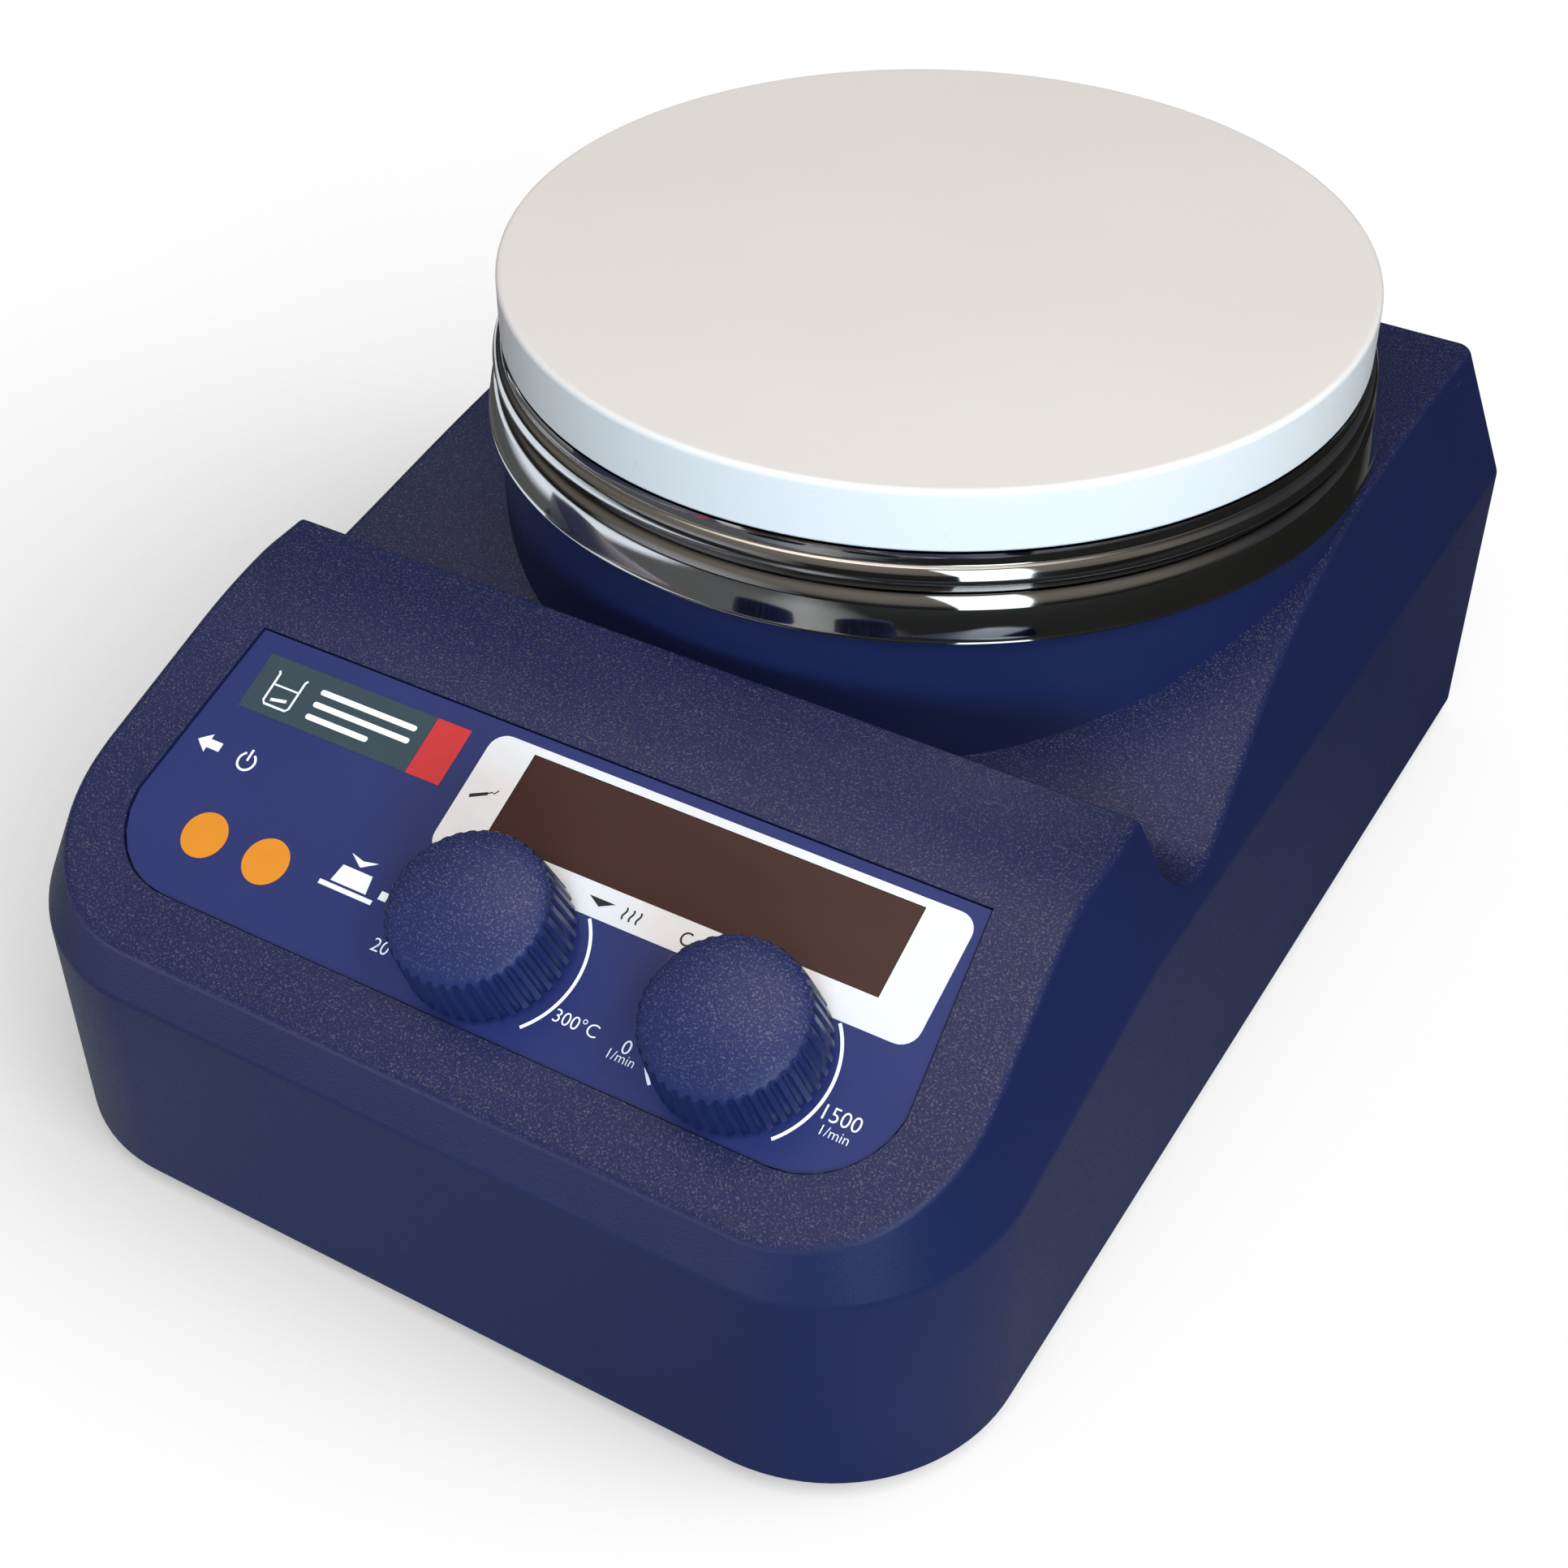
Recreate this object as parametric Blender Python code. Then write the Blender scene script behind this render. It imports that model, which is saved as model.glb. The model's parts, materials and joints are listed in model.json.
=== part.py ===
"""Hot-plate magnetic stirrer, built in metres with +Z up and the console facing -Y.

The origin is the middle of the footprint on the bench. Run it with
blender --background --python part.py, or from Blender's text editor.
"""

from math import atan, cos, pi, radians, sin

import bmesh
import bpy
from mathutils import Matrix, Vector
from mathutils.geometry import interpolate_bezier

# Overall sizes
HALF_WIDTH = 0.0773
FRONT_Y = -0.1075
REAR_Y = 0.1014
SHELL_BOTTOM = 0.003
CORNER_RADIUS = 0.0280
WALL = 0.003
GAP = 0.0004

# Side facet: above the crease the walls lean inwards
LEAN = 0.41
CREASE = ((0.2, 0.0522), (-0.0435, 0.0522), (-0.082, 0.0428), (-0.1075, 0.0388))

# Top of the housing, seen from the side
CREST = (-0.0356, 0.0705)
NOTCH_TOP = (-0.0348, 0.0640)
NOTCH_END = (-0.0220, 0.0566)
DECK_END = (REAR_Y, 0.0733)
PANEL_START = (-0.05935, 0.06607)
PANEL_SLOPE = 0.449
PANEL_ANGLE = atan(PANEL_SLOPE)
TOP_FILLET = 0.0024

# Stir axis, plate and drum
AXIS_Y = 0.0372
PLATE_RADIUS = 0.0675
PLATE_TOP = 0.1012
PLATE_HEIGHT = 0.0098
PLATE_SKIN = 0.0046
SHIELD_RADIUS = 0.0703
SHIELD_BOTTOM = 0.0780
SHIELD_SHEET = 0.0008
DRUM_RADIUS = 0.0686
DRUM_TOP = 0.0777
DRUM_UNDERCUT = (0.0400, 0.0580)
ROUND_STEPS = 60

# Console print, in the panel's own frame: x across, y up the slope, z out of the panel
LABEL_TOP = 0.00215
LABEL_BOTTOM = -0.0400
LABEL_HALF_TOP = 0.0595
LABEL_HALF_BOTTOM = 0.0622
LABEL_RADIUS = 0.0135
POCKET_DEPTH = 0.0012
FILM = (-0.0009, -0.0004)
WINDOW_CENTRE = (0.0209, -0.0076)
WINDOW_SIZE = (0.0620, 0.0145)
KNOB_X = {"heat": -0.0002, "stir": 0.0388}
KNOB_Y = -0.0277

# Knobs and encoders
KNOB_BASE_RADIUS = 0.0121
KNOB_TOP_RADIUS = 0.0114
KNOB_FLOOR = 0.0009
KNOB_SHOULDER = 0.0105
KNOB_CROWN = 0.0125
KNOB_RIBS = 38
RIB_DEPTH = 0.0005
ENCODER_BORE = 0.0032
SHAFT_RADIUS = 0.0029

# Stirring motor
MOTOR_RADIUS = 0.027
MOTOR_TOP = 0.0721
MOTOR_BOTTOM = 0.0400
SHAFT_TOP = 0.0860
MOTOR_SHAFT_RADIUS = 0.0025
BEARING_RADIUS = 0.0080
MAGNET_OFFSET = 0.020
MAGNET_RADIUS = 0.0075

# Fasteners and feet
STANDOFF_CIRCLE = 0.050
STANDOFF_ANGLES = (90, 210, 330)
BRACKET_CIRCLE = 0.034
BOSS_POINTS = ((-0.060, -0.086), (0.060, -0.086), (-0.066, 0.091), (0.066, 0.091))
FOOT_POINTS = {
    "foot_front_left": (-0.052, -0.072),
    "foot_front_right": (0.052, -0.072),
    "foot_rear_left": (-0.056, 0.076),
    "foot_rear_right": (0.056, 0.076),
}
BASE_FLOOR = (0.0042, 0.0062)

# Electrical parts on the walls
SWITCH_Y = -0.072
SWITCH_Z = 0.026
ROCKER_TILT = radians(9)
ROCKER_PIVOT_X = -0.0740
INLET_CENTRE = (0.034, 0.029)
INLET_SIZE = (0.047, 0.027)
PROBE_CENTRE = (-0.045, 0.030)


# ---------------------------------------------------------------- scene and materials


def clear_scene():
    for item in list(bpy.data.objects):
        bpy.data.objects.remove(item, do_unlink=True)


def finish(name, colour, roughness, metallic=0.0):
    """A plain Principled material."""
    made = bpy.data.materials.new(name)
    made.use_nodes = True
    shader = made.node_tree.nodes["Principled BSDF"]
    shader.inputs["Base Color"].default_value = (*colour, 1.0)
    shader.inputs["Roughness"].default_value = roughness
    shader.inputs["Metallic"].default_value = metallic
    made.diffuse_color = (*colour, 1.0)
    return made


def add_object(name, bm, material, parent=None, smooth=False):
    """Turns a bmesh into a named object, with its faces pointing out."""
    bmesh.ops.recalc_face_normals(bm, faces=bm.faces)
    mesh = bpy.data.meshes.new(name)
    bm.to_mesh(mesh)
    bm.free()
    if smooth:
        mesh.shade_smooth()
        mesh.set_sharp_from_angle(angle=radians(35))
    if material:
        mesh.materials.append(material)
    made = bpy.data.objects.new(name, mesh)
    bpy.context.scene.collection.objects.link(made)
    made.parent = parent
    return made


def add_empty(name, location, rotation=(0, 0, 0), parent=None):
    made = bpy.data.objects.new(name, None)
    made.location = location
    made.rotation_euler = rotation
    made.parent = parent
    made.empty_display_size = 0.02
    bpy.context.scene.collection.objects.link(made)
    return made


def combine(target, other, operation):
    """A Boolean modifier on target, with other as its hidden operand."""
    modifier = target.modifiers.new(f"{operation.lower()} {other.name}", "BOOLEAN")
    modifier.operation = operation
    modifier.object = other
    other.hide_render = True
    other.display_type = "WIRE"


def cut(target, bm, name, parent=None):
    combine(target, add_object(name, bm, None, parent), "DIFFERENCE")


def join(target, bm, name, parent=None):
    combine(target, add_object(name, bm, None, parent), "UNION")


# ---------------------------------------------------------------- shapes


def add_box(bm, low, high):
    """A box between two corners."""
    size = Vector(high) - Vector(low)
    centre = (Vector(high) + Vector(low)) / 2
    matrix = Matrix.Translation(centre) @ Matrix.Diagonal((*size, 1.0))
    bmesh.ops.create_cube(bm, size=1.0, matrix=matrix)
    return bm


def box(low, high):
    return add_box(bmesh.new(), low, high)


def add_rod(bm, radius, low, high, centre=(0, 0), axis="Z", steps=24):
    """A cylinder along Z or Y between low and high; centre is its place across that axis."""
    depth = high - low
    middle = (high + low) / 2
    if axis == "Z":
        matrix = Matrix.Translation((*centre, middle))
    else:
        matrix = Matrix.Translation((centre[0], middle, centre[1])) @ Matrix.Rotation(pi / 2, 4, "X")
    bmesh.ops.create_cone(
        bm, cap_ends=True, segments=steps, radius1=radius, radius2=radius, depth=depth, matrix=matrix
    )
    return bm


def rod(radius, low, high, centre=(0, 0), axis="Z", steps=24):
    return add_rod(bmesh.new(), radius, low, high, centre, axis, steps)


def turned(profile, steps=ROUND_STEPS, centre=(0, 0)):
    """Spins (radius, height) points about Z; the profile closes itself unless both ends are on the axis."""
    bm = bmesh.new()
    points = [bm.verts.new((radius, 0, height)) for radius, height in profile]
    edges = [bm.edges.new(pair) for pair in zip(points, points[1:])]
    if profile[0][0] > 0 or profile[-1][0] > 0:
        edges.append(bm.edges.new((points[-1], points[0])))
    bmesh.ops.spin(
        bm,
        geom=points + edges,
        axis=(0, 0, 1),
        cent=(0, 0, 0),
        angle=2 * pi,
        steps=steps,
        use_duplicate=False,
    )
    bmesh.ops.remove_doubles(bm, verts=bm.verts, dist=1e-6)
    bmesh.ops.translate(bm, verts=bm.verts, vec=(*centre, 0))
    return bm


def prism(outline, low, high):
    """Extrudes a flat outline from low to high."""
    bm = bmesh.new()
    face = bm.faces.new([bm.verts.new((x, y, low)) for x, y in outline])
    moved = bmesh.ops.extrude_face_region(bm, geom=[face])["geom"]
    points = [item for item in moved if isinstance(item, bmesh.types.BMVert)]
    bmesh.ops.translate(bm, verts=points, vec=(0, 0, high - low))
    return bm


def arc(centre, radius, start, end, steps):
    """Points on a circle from start to end degrees."""
    angles = [radians(start + (end - start) * step / steps) for step in range(steps + 1)]
    return [(centre[0] + radius * cos(angle), centre[1] + radius * sin(angle)) for angle in angles]


def bezier(start, first, second, end, steps):
    """Points on a cubic curve in a plane, from start up to but not including end."""
    knots = [Vector((*point, 0)) for point in (start, first, second, end)]
    return [(point.x, point.y) for point in interpolate_bezier(*knots, steps + 1)[:-1]]


def tube(name, points, radius, material):
    """A cable through the points."""
    curve = bpy.data.curves.new(name, "CURVE")
    curve.dimensions = "3D"
    curve.resolution_u = 4
    curve.bevel_depth = radius
    curve.bevel_resolution = 1
    curve.use_fill_caps = True
    spline = curve.splines.new("BEZIER")
    spline.bezier_points.add(len(points) - 1)
    for knot, point in zip(spline.bezier_points, points):
        knot.co = point
        knot.handle_left_type = knot.handle_right_type = "AUTO"
    curve.materials.append(material)
    made = bpy.data.objects.new(name, curve)
    bpy.context.scene.collection.objects.link(made)
    return made


# ---------------------------------------------------------------- housing


def crease_height(y):
    for (back, high), (front, low) in zip(CREASE, CREASE[1:]):
        if y >= front:
            return low + (high - low) * (y - front) / (back - front)
    return CREASE[-1][1]


def panel_height(y):
    return PANEL_START[1] + PANEL_SLOPE * (y - PANEL_START[0])


def outer_profile():
    """(y, z) along the top of the housing from the rear to the front of the flat panel."""
    points = bezier(DECK_END, (0.020, 0.0750), (0.010, 0.0661), NOTCH_END, 10)
    points += bezier(NOTCH_END, (-0.0290, 0.0549), (-0.0342, 0.0595), NOTCH_TOP, 6)
    points += [NOTCH_TOP]
    points += bezier(CREST, (-0.0420, 0.0700), (-0.0505, 0.07004), PANEL_START, 5)
    return points + [PANEL_START]


def inner_profile():
    """(y, z) along the roof of the cavity."""
    rear = REAR_Y - WALL
    return [
        (rear, 0.0701),
        (0.0410, 0.0690),
        (0.0220, 0.0654),
        (-0.0029, 0.0584),
        (-0.0220, 0.0534),
        (-0.0330, 0.0526),
        (-0.0386, 0.0560),
        (-0.0392, 0.0668),
        (-0.0500, 0.0655),
        (PANEL_START[0], PANEL_START[1] - 0.0034),
    ]


def wall_stations(inset, profile, drop):
    """Matching bottom, crease and top points down the right wall, from the rear to the front middle."""
    half, front = HALF_WIDTH - inset, FRONT_Y + inset
    radius = CORNER_RADIUS - inset
    stations = []
    for y, z in profile:
        crease = crease_height(y)
        stations.append(((half, y), crease, (half - LEAN * (z - crease), y, z)))
    for step in range(9):
        angle = radians(90 * step / 8)
        side, ahead = cos(angle), sin(angle)
        x = half - radius + radius * side
        y = front + radius - radius * ahead
        crease = crease_height(y)
        # where the leaning wall meets the sloping panel
        rise = (panel_height(y) - drop - crease) / (1 - PANEL_SLOPE * LEAN * ahead)
        stations.append(((x, y), crease, (x - LEAN * rise * side, y + LEAN * rise * ahead, crease + rise)))
    return stations


def housing_form(inset, profile, drop, bottom):
    """A closed solid under the given top profile, and its two top outlines."""
    bm = bmesh.new()
    columns = []
    for sign in (1, -1):
        side = []
        for (x, y), crease, (top_x, top_y, top_z) in wall_stations(inset, profile, drop):
            low = bm.verts.new((sign * x, y, bottom))
            middle = bm.verts.new((sign * x, y, crease))
            high = bm.verts.new((sign * top_x, top_y, top_z))
            side.append((low, middle, high))
        columns.append(side)
    right, left = columns
    for side in columns:
        for near, far in zip(side, side[1:]):
            bm.faces.new((near[0], near[1], far[1], far[0]))
            bm.faces.new((near[1], near[2], far[2], far[1]))
    for index in range(len(right) - 1):
        bm.faces.new((right[index][2], left[index][2], left[index + 1][2], right[index + 1][2]))
    for end in (0, -1):
        bm.faces.new((right[end][0], left[end][0], left[end][1], right[end][1]))
        bm.faces.new((right[end][1], left[end][1], left[end][2], right[end][2]))
    bm.faces.new([column[0] for column in right] + [column[0] for column in reversed(left)])
    outline = [column[2] for column in right] + [column[2] for column in reversed(left)]
    bmesh.ops.recalc_face_normals(bm, faces=bm.faces)
    return bm, outline, [right[0], left[0]]


def edge_between(first, second):
    return next(edge for edge in first.link_edges if edge.other_vert(first) is second)


def housing_outer():
    bm, outline, rear_columns = housing_form(0, outer_profile(), 0, SHELL_BOTTOM)
    edges = [edge_between(a, b) for a, b in zip(outline, outline[1:] + outline[:1])]
    for low, middle, high in rear_columns:
        edges += [edge_between(low, middle), edge_between(middle, high)]
    bmesh.ops.bevel(
        bm, geom=edges, offset=TOP_FILLET, segments=3, profile=0.5, affect="EDGES", clamp_overlap=False
    )
    bmesh.ops.triangulate(bm, faces=bm.faces)
    return bm


def housing_cavity():
    bm, _, _ = housing_form(WALL, inner_profile(), 0.0034, SHELL_BOTTOM - 0.002)
    bmesh.ops.triangulate(bm, faces=bm.faces)
    return bm


def drum():
    """The pillar under the plate; it bulges a little past the rear wall."""
    low, high = DRUM_UNDERCUT
    profile = [(0, low), (DRUM_RADIUS - 0.0066, low), (DRUM_RADIUS, high)]
    profile += [(DRUM_RADIUS, DRUM_TOP - 0.0008), (DRUM_RADIUS - 0.0008, DRUM_TOP), (0, DRUM_TOP)]
    return turned(profile, centre=(0, AXIS_Y))


def around_axis(circle, angles):
    """Points on a circle about the stir axis."""
    return [(circle * cos(radians(a)), AXIS_Y + circle * sin(radians(a))) for a in angles]


def label_outline(margin=0.0):
    """The film's outline: square corners at the top, round ones at the bottom, sides that spread."""
    top, bottom = LABEL_TOP + margin, LABEL_BOTTOM - margin
    upper, lower = LABEL_HALF_TOP + margin, LABEL_HALF_BOTTOM + margin
    radius = LABEL_RADIUS + margin
    points = [(-upper, top)]
    points += arc((-lower + radius, bottom + radius), radius, 184, 270, 6)
    points += arc((lower - radius, bottom + radius), radius, 270, 356, 6)
    return points + [(upper, top)]


def rectangle(centre, size, margin=0.0):
    x, y = size[0] / 2 + margin, size[1] / 2 + margin
    return [
        (centre[0] - x, centre[1] - y),
        (centre[0] + x, centre[1] - y),
        (centre[0] + x, centre[1] + y),
        (centre[0] - x, centre[1] + y),
    ]


def roof_above(y):
    """Height of the housing's top at y, on its flat panel or its deck."""
    if y < PANEL_START[0]:
        return panel_height(y)
    return DECK_END[1]


def make_housing(material, panel):
    made = add_object("housing", housing_outer(), material)
    join(made, drum(), "drum_solid")
    cut(made, housing_cavity(), "cavity_cutter")
    bore = rod(DRUM_RADIUS - WALL, DRUM_UNDERCUT[1], DRUM_TOP - WALL, (0, AXIS_Y), steps=ROUND_STEPS)
    cut(made, bore, "drum_bore_cutter")

    columns = bmesh.new()
    for x, y in BOSS_POINTS:
        add_rod(columns, 0.0040, BASE_FLOOR[1] + GAP, roof_above(y) - 0.0022, (x, y), steps=16)
    pad_y, pad_z = 0.0150, 0.0110
    add_box(
        columns,
        (-HALF_WIDTH + WALL - 0.0005, SWITCH_Y - pad_y, SWITCH_Z - pad_z),
        (-HALF_WIDTH + WALL + 0.0038, SWITCH_Y + pad_y, SWITCH_Z + pad_z),
    )
    join(made, columns, "bosses_and_switch_pad")

    pocket = prism(label_outline(GAP), -POCKET_DEPTH, 0.004)
    cut(made, pocket, "label_pocket_cutter", panel)

    through = prism(rectangle(WINDOW_CENTRE, WINDOW_SIZE), -0.008, 0.006)
    for x in KNOB_X.values():
        add_rod(through, 0.0039, -0.008, 0.006, (x, KNOB_Y))
    cut(made, through, "panel_openings_cutter", panel)

    holes = bmesh.new()
    for x, y in BOSS_POINTS:
        add_rod(holes, 0.0018, 0.001, 0.018, (x, y), steps=12)
    add_rod(holes, 0.0060, 0.073, 0.080, (0, AXIS_Y))
    for point in around_axis(STANDOFF_CIRCLE, STANDOFF_ANGLES):
        add_rod(holes, 0.0018, 0.073, 0.080, point, steps=12)
    for point in around_axis(BRACKET_CIRCLE, STANDOFF_ANGLES):
        add_rod(holes, 0.0016, 0.073, 0.080, point, steps=12)
    for point in around_axis(STANDOFF_CIRCLE, [150]):
        add_rod(holes, 0.0032, 0.073, 0.080, point, steps=16)
    x, z = INLET_CENTRE
    half_x, half_z = INLET_SIZE[0] / 2 + GAP, INLET_SIZE[1] / 2 + GAP
    add_box(holes, (x - half_x, REAR_Y - 0.006, z - half_z), (x + half_x, REAR_Y + 0.002, z + half_z))
    add_rod(holes, 0.0074, REAR_Y - 0.006, REAR_Y + 0.002, PROBE_CENTRE, axis="Y")
    cut(made, holes, "hole_cutter")

    recess = box(
        (-HALF_WIDTH - 0.002, SWITCH_Y - 0.0119, SWITCH_Z - 0.0084),
        (-HALF_WIDTH + 0.0029, SWITCH_Y + 0.0119, SWITCH_Z + 0.0084),
    )
    cut(made, recess, "switch_recess_cutter")
    opening = box(
        (-HALF_WIDTH - 0.002, SWITCH_Y - 0.0107, SWITCH_Z - 0.0075),
        (-HALF_WIDTH + 0.012, SWITCH_Y + 0.0107, SWITCH_Z + 0.0075),
    )
    cut(made, opening, "switch_opening_cutter")
    return made


# ---------------------------------------------------------------- base


def base_outline():
    inset = WALL + GAP
    half, front, rear = HALF_WIDTH - inset, FRONT_Y + inset, REAR_Y - inset
    radius = CORNER_RADIUS - inset
    points = [(half, rear), (-half, rear)]
    points += arc((-half + radius, front + radius), radius, 180, 270, 8)
    points += arc((half - radius, front + radius), radius, 270, 360, 8)
    return points


def make_base(steel):
    made = add_object("base_plate", prism(base_outline(), *BASE_FLOOR), steel)
    low, high = BASE_FLOOR[0] - 0.002, BASE_FLOOR[1] + 0.002
    holes = bmesh.new()
    for x, y in BOSS_POINTS:
        add_rod(holes, 0.0019, low, high, (x, y), steps=12)
    for x, y in FOOT_POINTS.values():
        add_rod(holes, 0.0034, low, high, (x, y), steps=16)
    for index in range(7):
        x = -0.024 + 0.008 * index
        add_box(holes, (x - 0.0015, -0.030, low), (x + 0.0015, 0.012, high))
    cut(made, holes, "base_hole_cutter")


def make_feet(rubber):
    """Push-in rubber feet: a pad, a neck through the base plate and a holding rim."""
    low, high = BASE_FLOOR
    profile = [
        (0, 0),
        (0.0085, 0),
        (0.0092, 0.0008),
        (0.0092, low - GAP),
        (0.0029, low - GAP),
        (0.0029, high + GAP),
        (0.0040, high + GAP + 0.0003),
        (0.0026, high + 0.0030),
        (0, high + 0.0030),
    ]
    for name, point in FOOT_POINTS.items():
        foot = add_object(name, turned(profile, 16), rubber, smooth=True)
        foot.location = (*point, 0)


def make_screw(name, point, head, shank, material):
    """A pan-head screw along Z: head and shank are (radius, low, high)."""
    profile = [(0, head[1]), (head[0] * 0.8, head[1]), (head[0], head[1] + 0.0006), (head[0], head[2])]
    profile += [(shank[0], head[2]), (shank[0], shank[2]), (0, shank[2])]
    screw = add_object(name, turned(profile, 12), material, smooth=True)
    screw.location = (*point, 0)


def make_base_screws(steel):
    for number, point in enumerate(BOSS_POINTS, 1):
        make_screw(f"base_screw_{number}", point, (0.0029, 0.0019, 0.0039), (0.0014, 0.0039, 0.0155), steel)


# ---------------------------------------------------------------- plate, shield and heater


def make_plate(ceramic):
    top, low = PLATE_TOP, PLATE_TOP - PLATE_HEIGHT
    rim = 0.0008
    inside = PLATE_RADIUS - 0.0035
    profile = [(0, top), (PLATE_RADIUS - rim, top), (PLATE_RADIUS - 0.3 * rim, top - 0.3 * rim)]
    profile += [(PLATE_RADIUS, top - rim), (PLATE_RADIUS, low + 0.0004), (PLATE_RADIUS - 0.0004, low)]
    profile += [(inside, low), (inside, top - PLATE_SKIN), (0, top - PLATE_SKIN)]
    plate = add_object("hot_plate", turned(profile), ceramic, smooth=True)
    plate.location = (0, AXIS_Y, 0)


def make_shield(chrome):
    """A spun dish: flat floor, plain band, then a shoulder, a groove and a rolled ridge."""
    band, sheet = SHIELD_RADIUS, SHIELD_SHEET
    z = SHIELD_BOTTOM
    outside = [
        (0.0360, z),
        (band - 0.0006, z),
        (band, z + 0.0006),
        (band - 0.0008, z + 0.0052),
        (band - 0.0014, z + 0.0066),
        (band - 0.0024, z + 0.0075),
        (band - 0.0031, z + 0.0084),
        (band - 0.0021, z + 0.0094),
        (band - 0.0015, z + 0.0105),
        (band - 0.0019, z + 0.0117),
        (band - 0.0024, z + 0.0131),
    ]
    inside = [
        (band - 0.0034, z + 0.0131),
        (band - 0.0029, z + 0.0117),
        (band - 0.0026, z + 0.0105),
        (band - 0.0031, z + 0.0094),
        (band - 0.0041, z + 0.0084),
        (band - 0.0032, z + 0.0068),
        (band - 0.0018, z + 0.0050),
        (band - 0.0011, z + sheet),
        (0.0360, z + sheet),
    ]
    shield = add_object("heat_shield", turned(outside + inside), chrome, smooth=True)
    shield.location = (0, AXIS_Y, 0)
    holes = bmesh.new()
    for x, y in around_axis(STANDOFF_CIRCLE, STANDOFF_ANGLES):
        add_rod(holes, 0.0018, z - 0.002, z + 0.003, (x, y - AXIS_Y), steps=12)
    for x, y in around_axis(STANDOFF_CIRCLE, [150]):
        add_rod(holes, 0.0032, z - 0.002, z + 0.003, (x, y - AXIS_Y), steps=16)
    cut(shield, holes, "shield_hole_cutter", shield)


def make_heater(steel, wool, brass):
    ceiling = PLATE_TOP - PLATE_SKIN
    under, over = ceiling - 0.0040, ceiling - GAP
    ring = [(0.026, under), (0.044, under), (0.044, over), (0.026, over)]
    heater = add_object("heater_ring", turned(ring, 36), steel, smooth=True)
    heater.location = (0, AXIS_Y, 0)

    low, high = SHIELD_BOTTOM + SHIELD_SHEET + GAP, PLATE_TOP - PLATE_HEIGHT - GAP
    pad = [(0.037, low), (0.061, low), (0.061, high), (0.037, high)]
    wool_ring = add_object("insulation_ring", turned(pad, 40), wool, smooth=True)
    wool_ring.location = (0, AXIS_Y, 0)
    holes = bmesh.new()
    for x, y in around_axis(STANDOFF_CIRCLE, (*STANDOFF_ANGLES, 150)):
        add_rod(holes, 0.0042, low - 0.002, high + 0.002, (x, y - AXIS_Y), steps=16)
    cut(wool_ring, holes, "insulation_hole_cutter", wool_ring)

    sensor = box((-0.0040, -0.0025, ceiling - 0.0034), (0.0040, 0.0025, ceiling - GAP))
    add_object("temperature_sensor", sensor, brass).location = (0.016, AXIS_Y, 0)


def make_standoffs(steel):
    low, high = SHIELD_BOTTOM + SHIELD_SHEET + GAP, PLATE_TOP - PLATE_SKIN - GAP
    floor = DRUM_TOP - WALL - GAP
    head, shank = (0.0030, floor - 0.0020, floor), (0.0014, floor, 0.0870)
    for number, point in enumerate(around_axis(STANDOFF_CIRCLE, STANDOFF_ANGLES), 1):
        post = add_object(f"standoff_{number}", rod(0.0035, low, high, steps=6), steel)
        post.location = (*point, 0)
        cut(post, rod(0.0018, low - 0.001, low + 0.010, steps=12), f"standoff_bore_{number}", post)
        make_screw(f"standoff_screw_{number}", point, head, shank, steel)


# ---------------------------------------------------------------- motor


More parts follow.
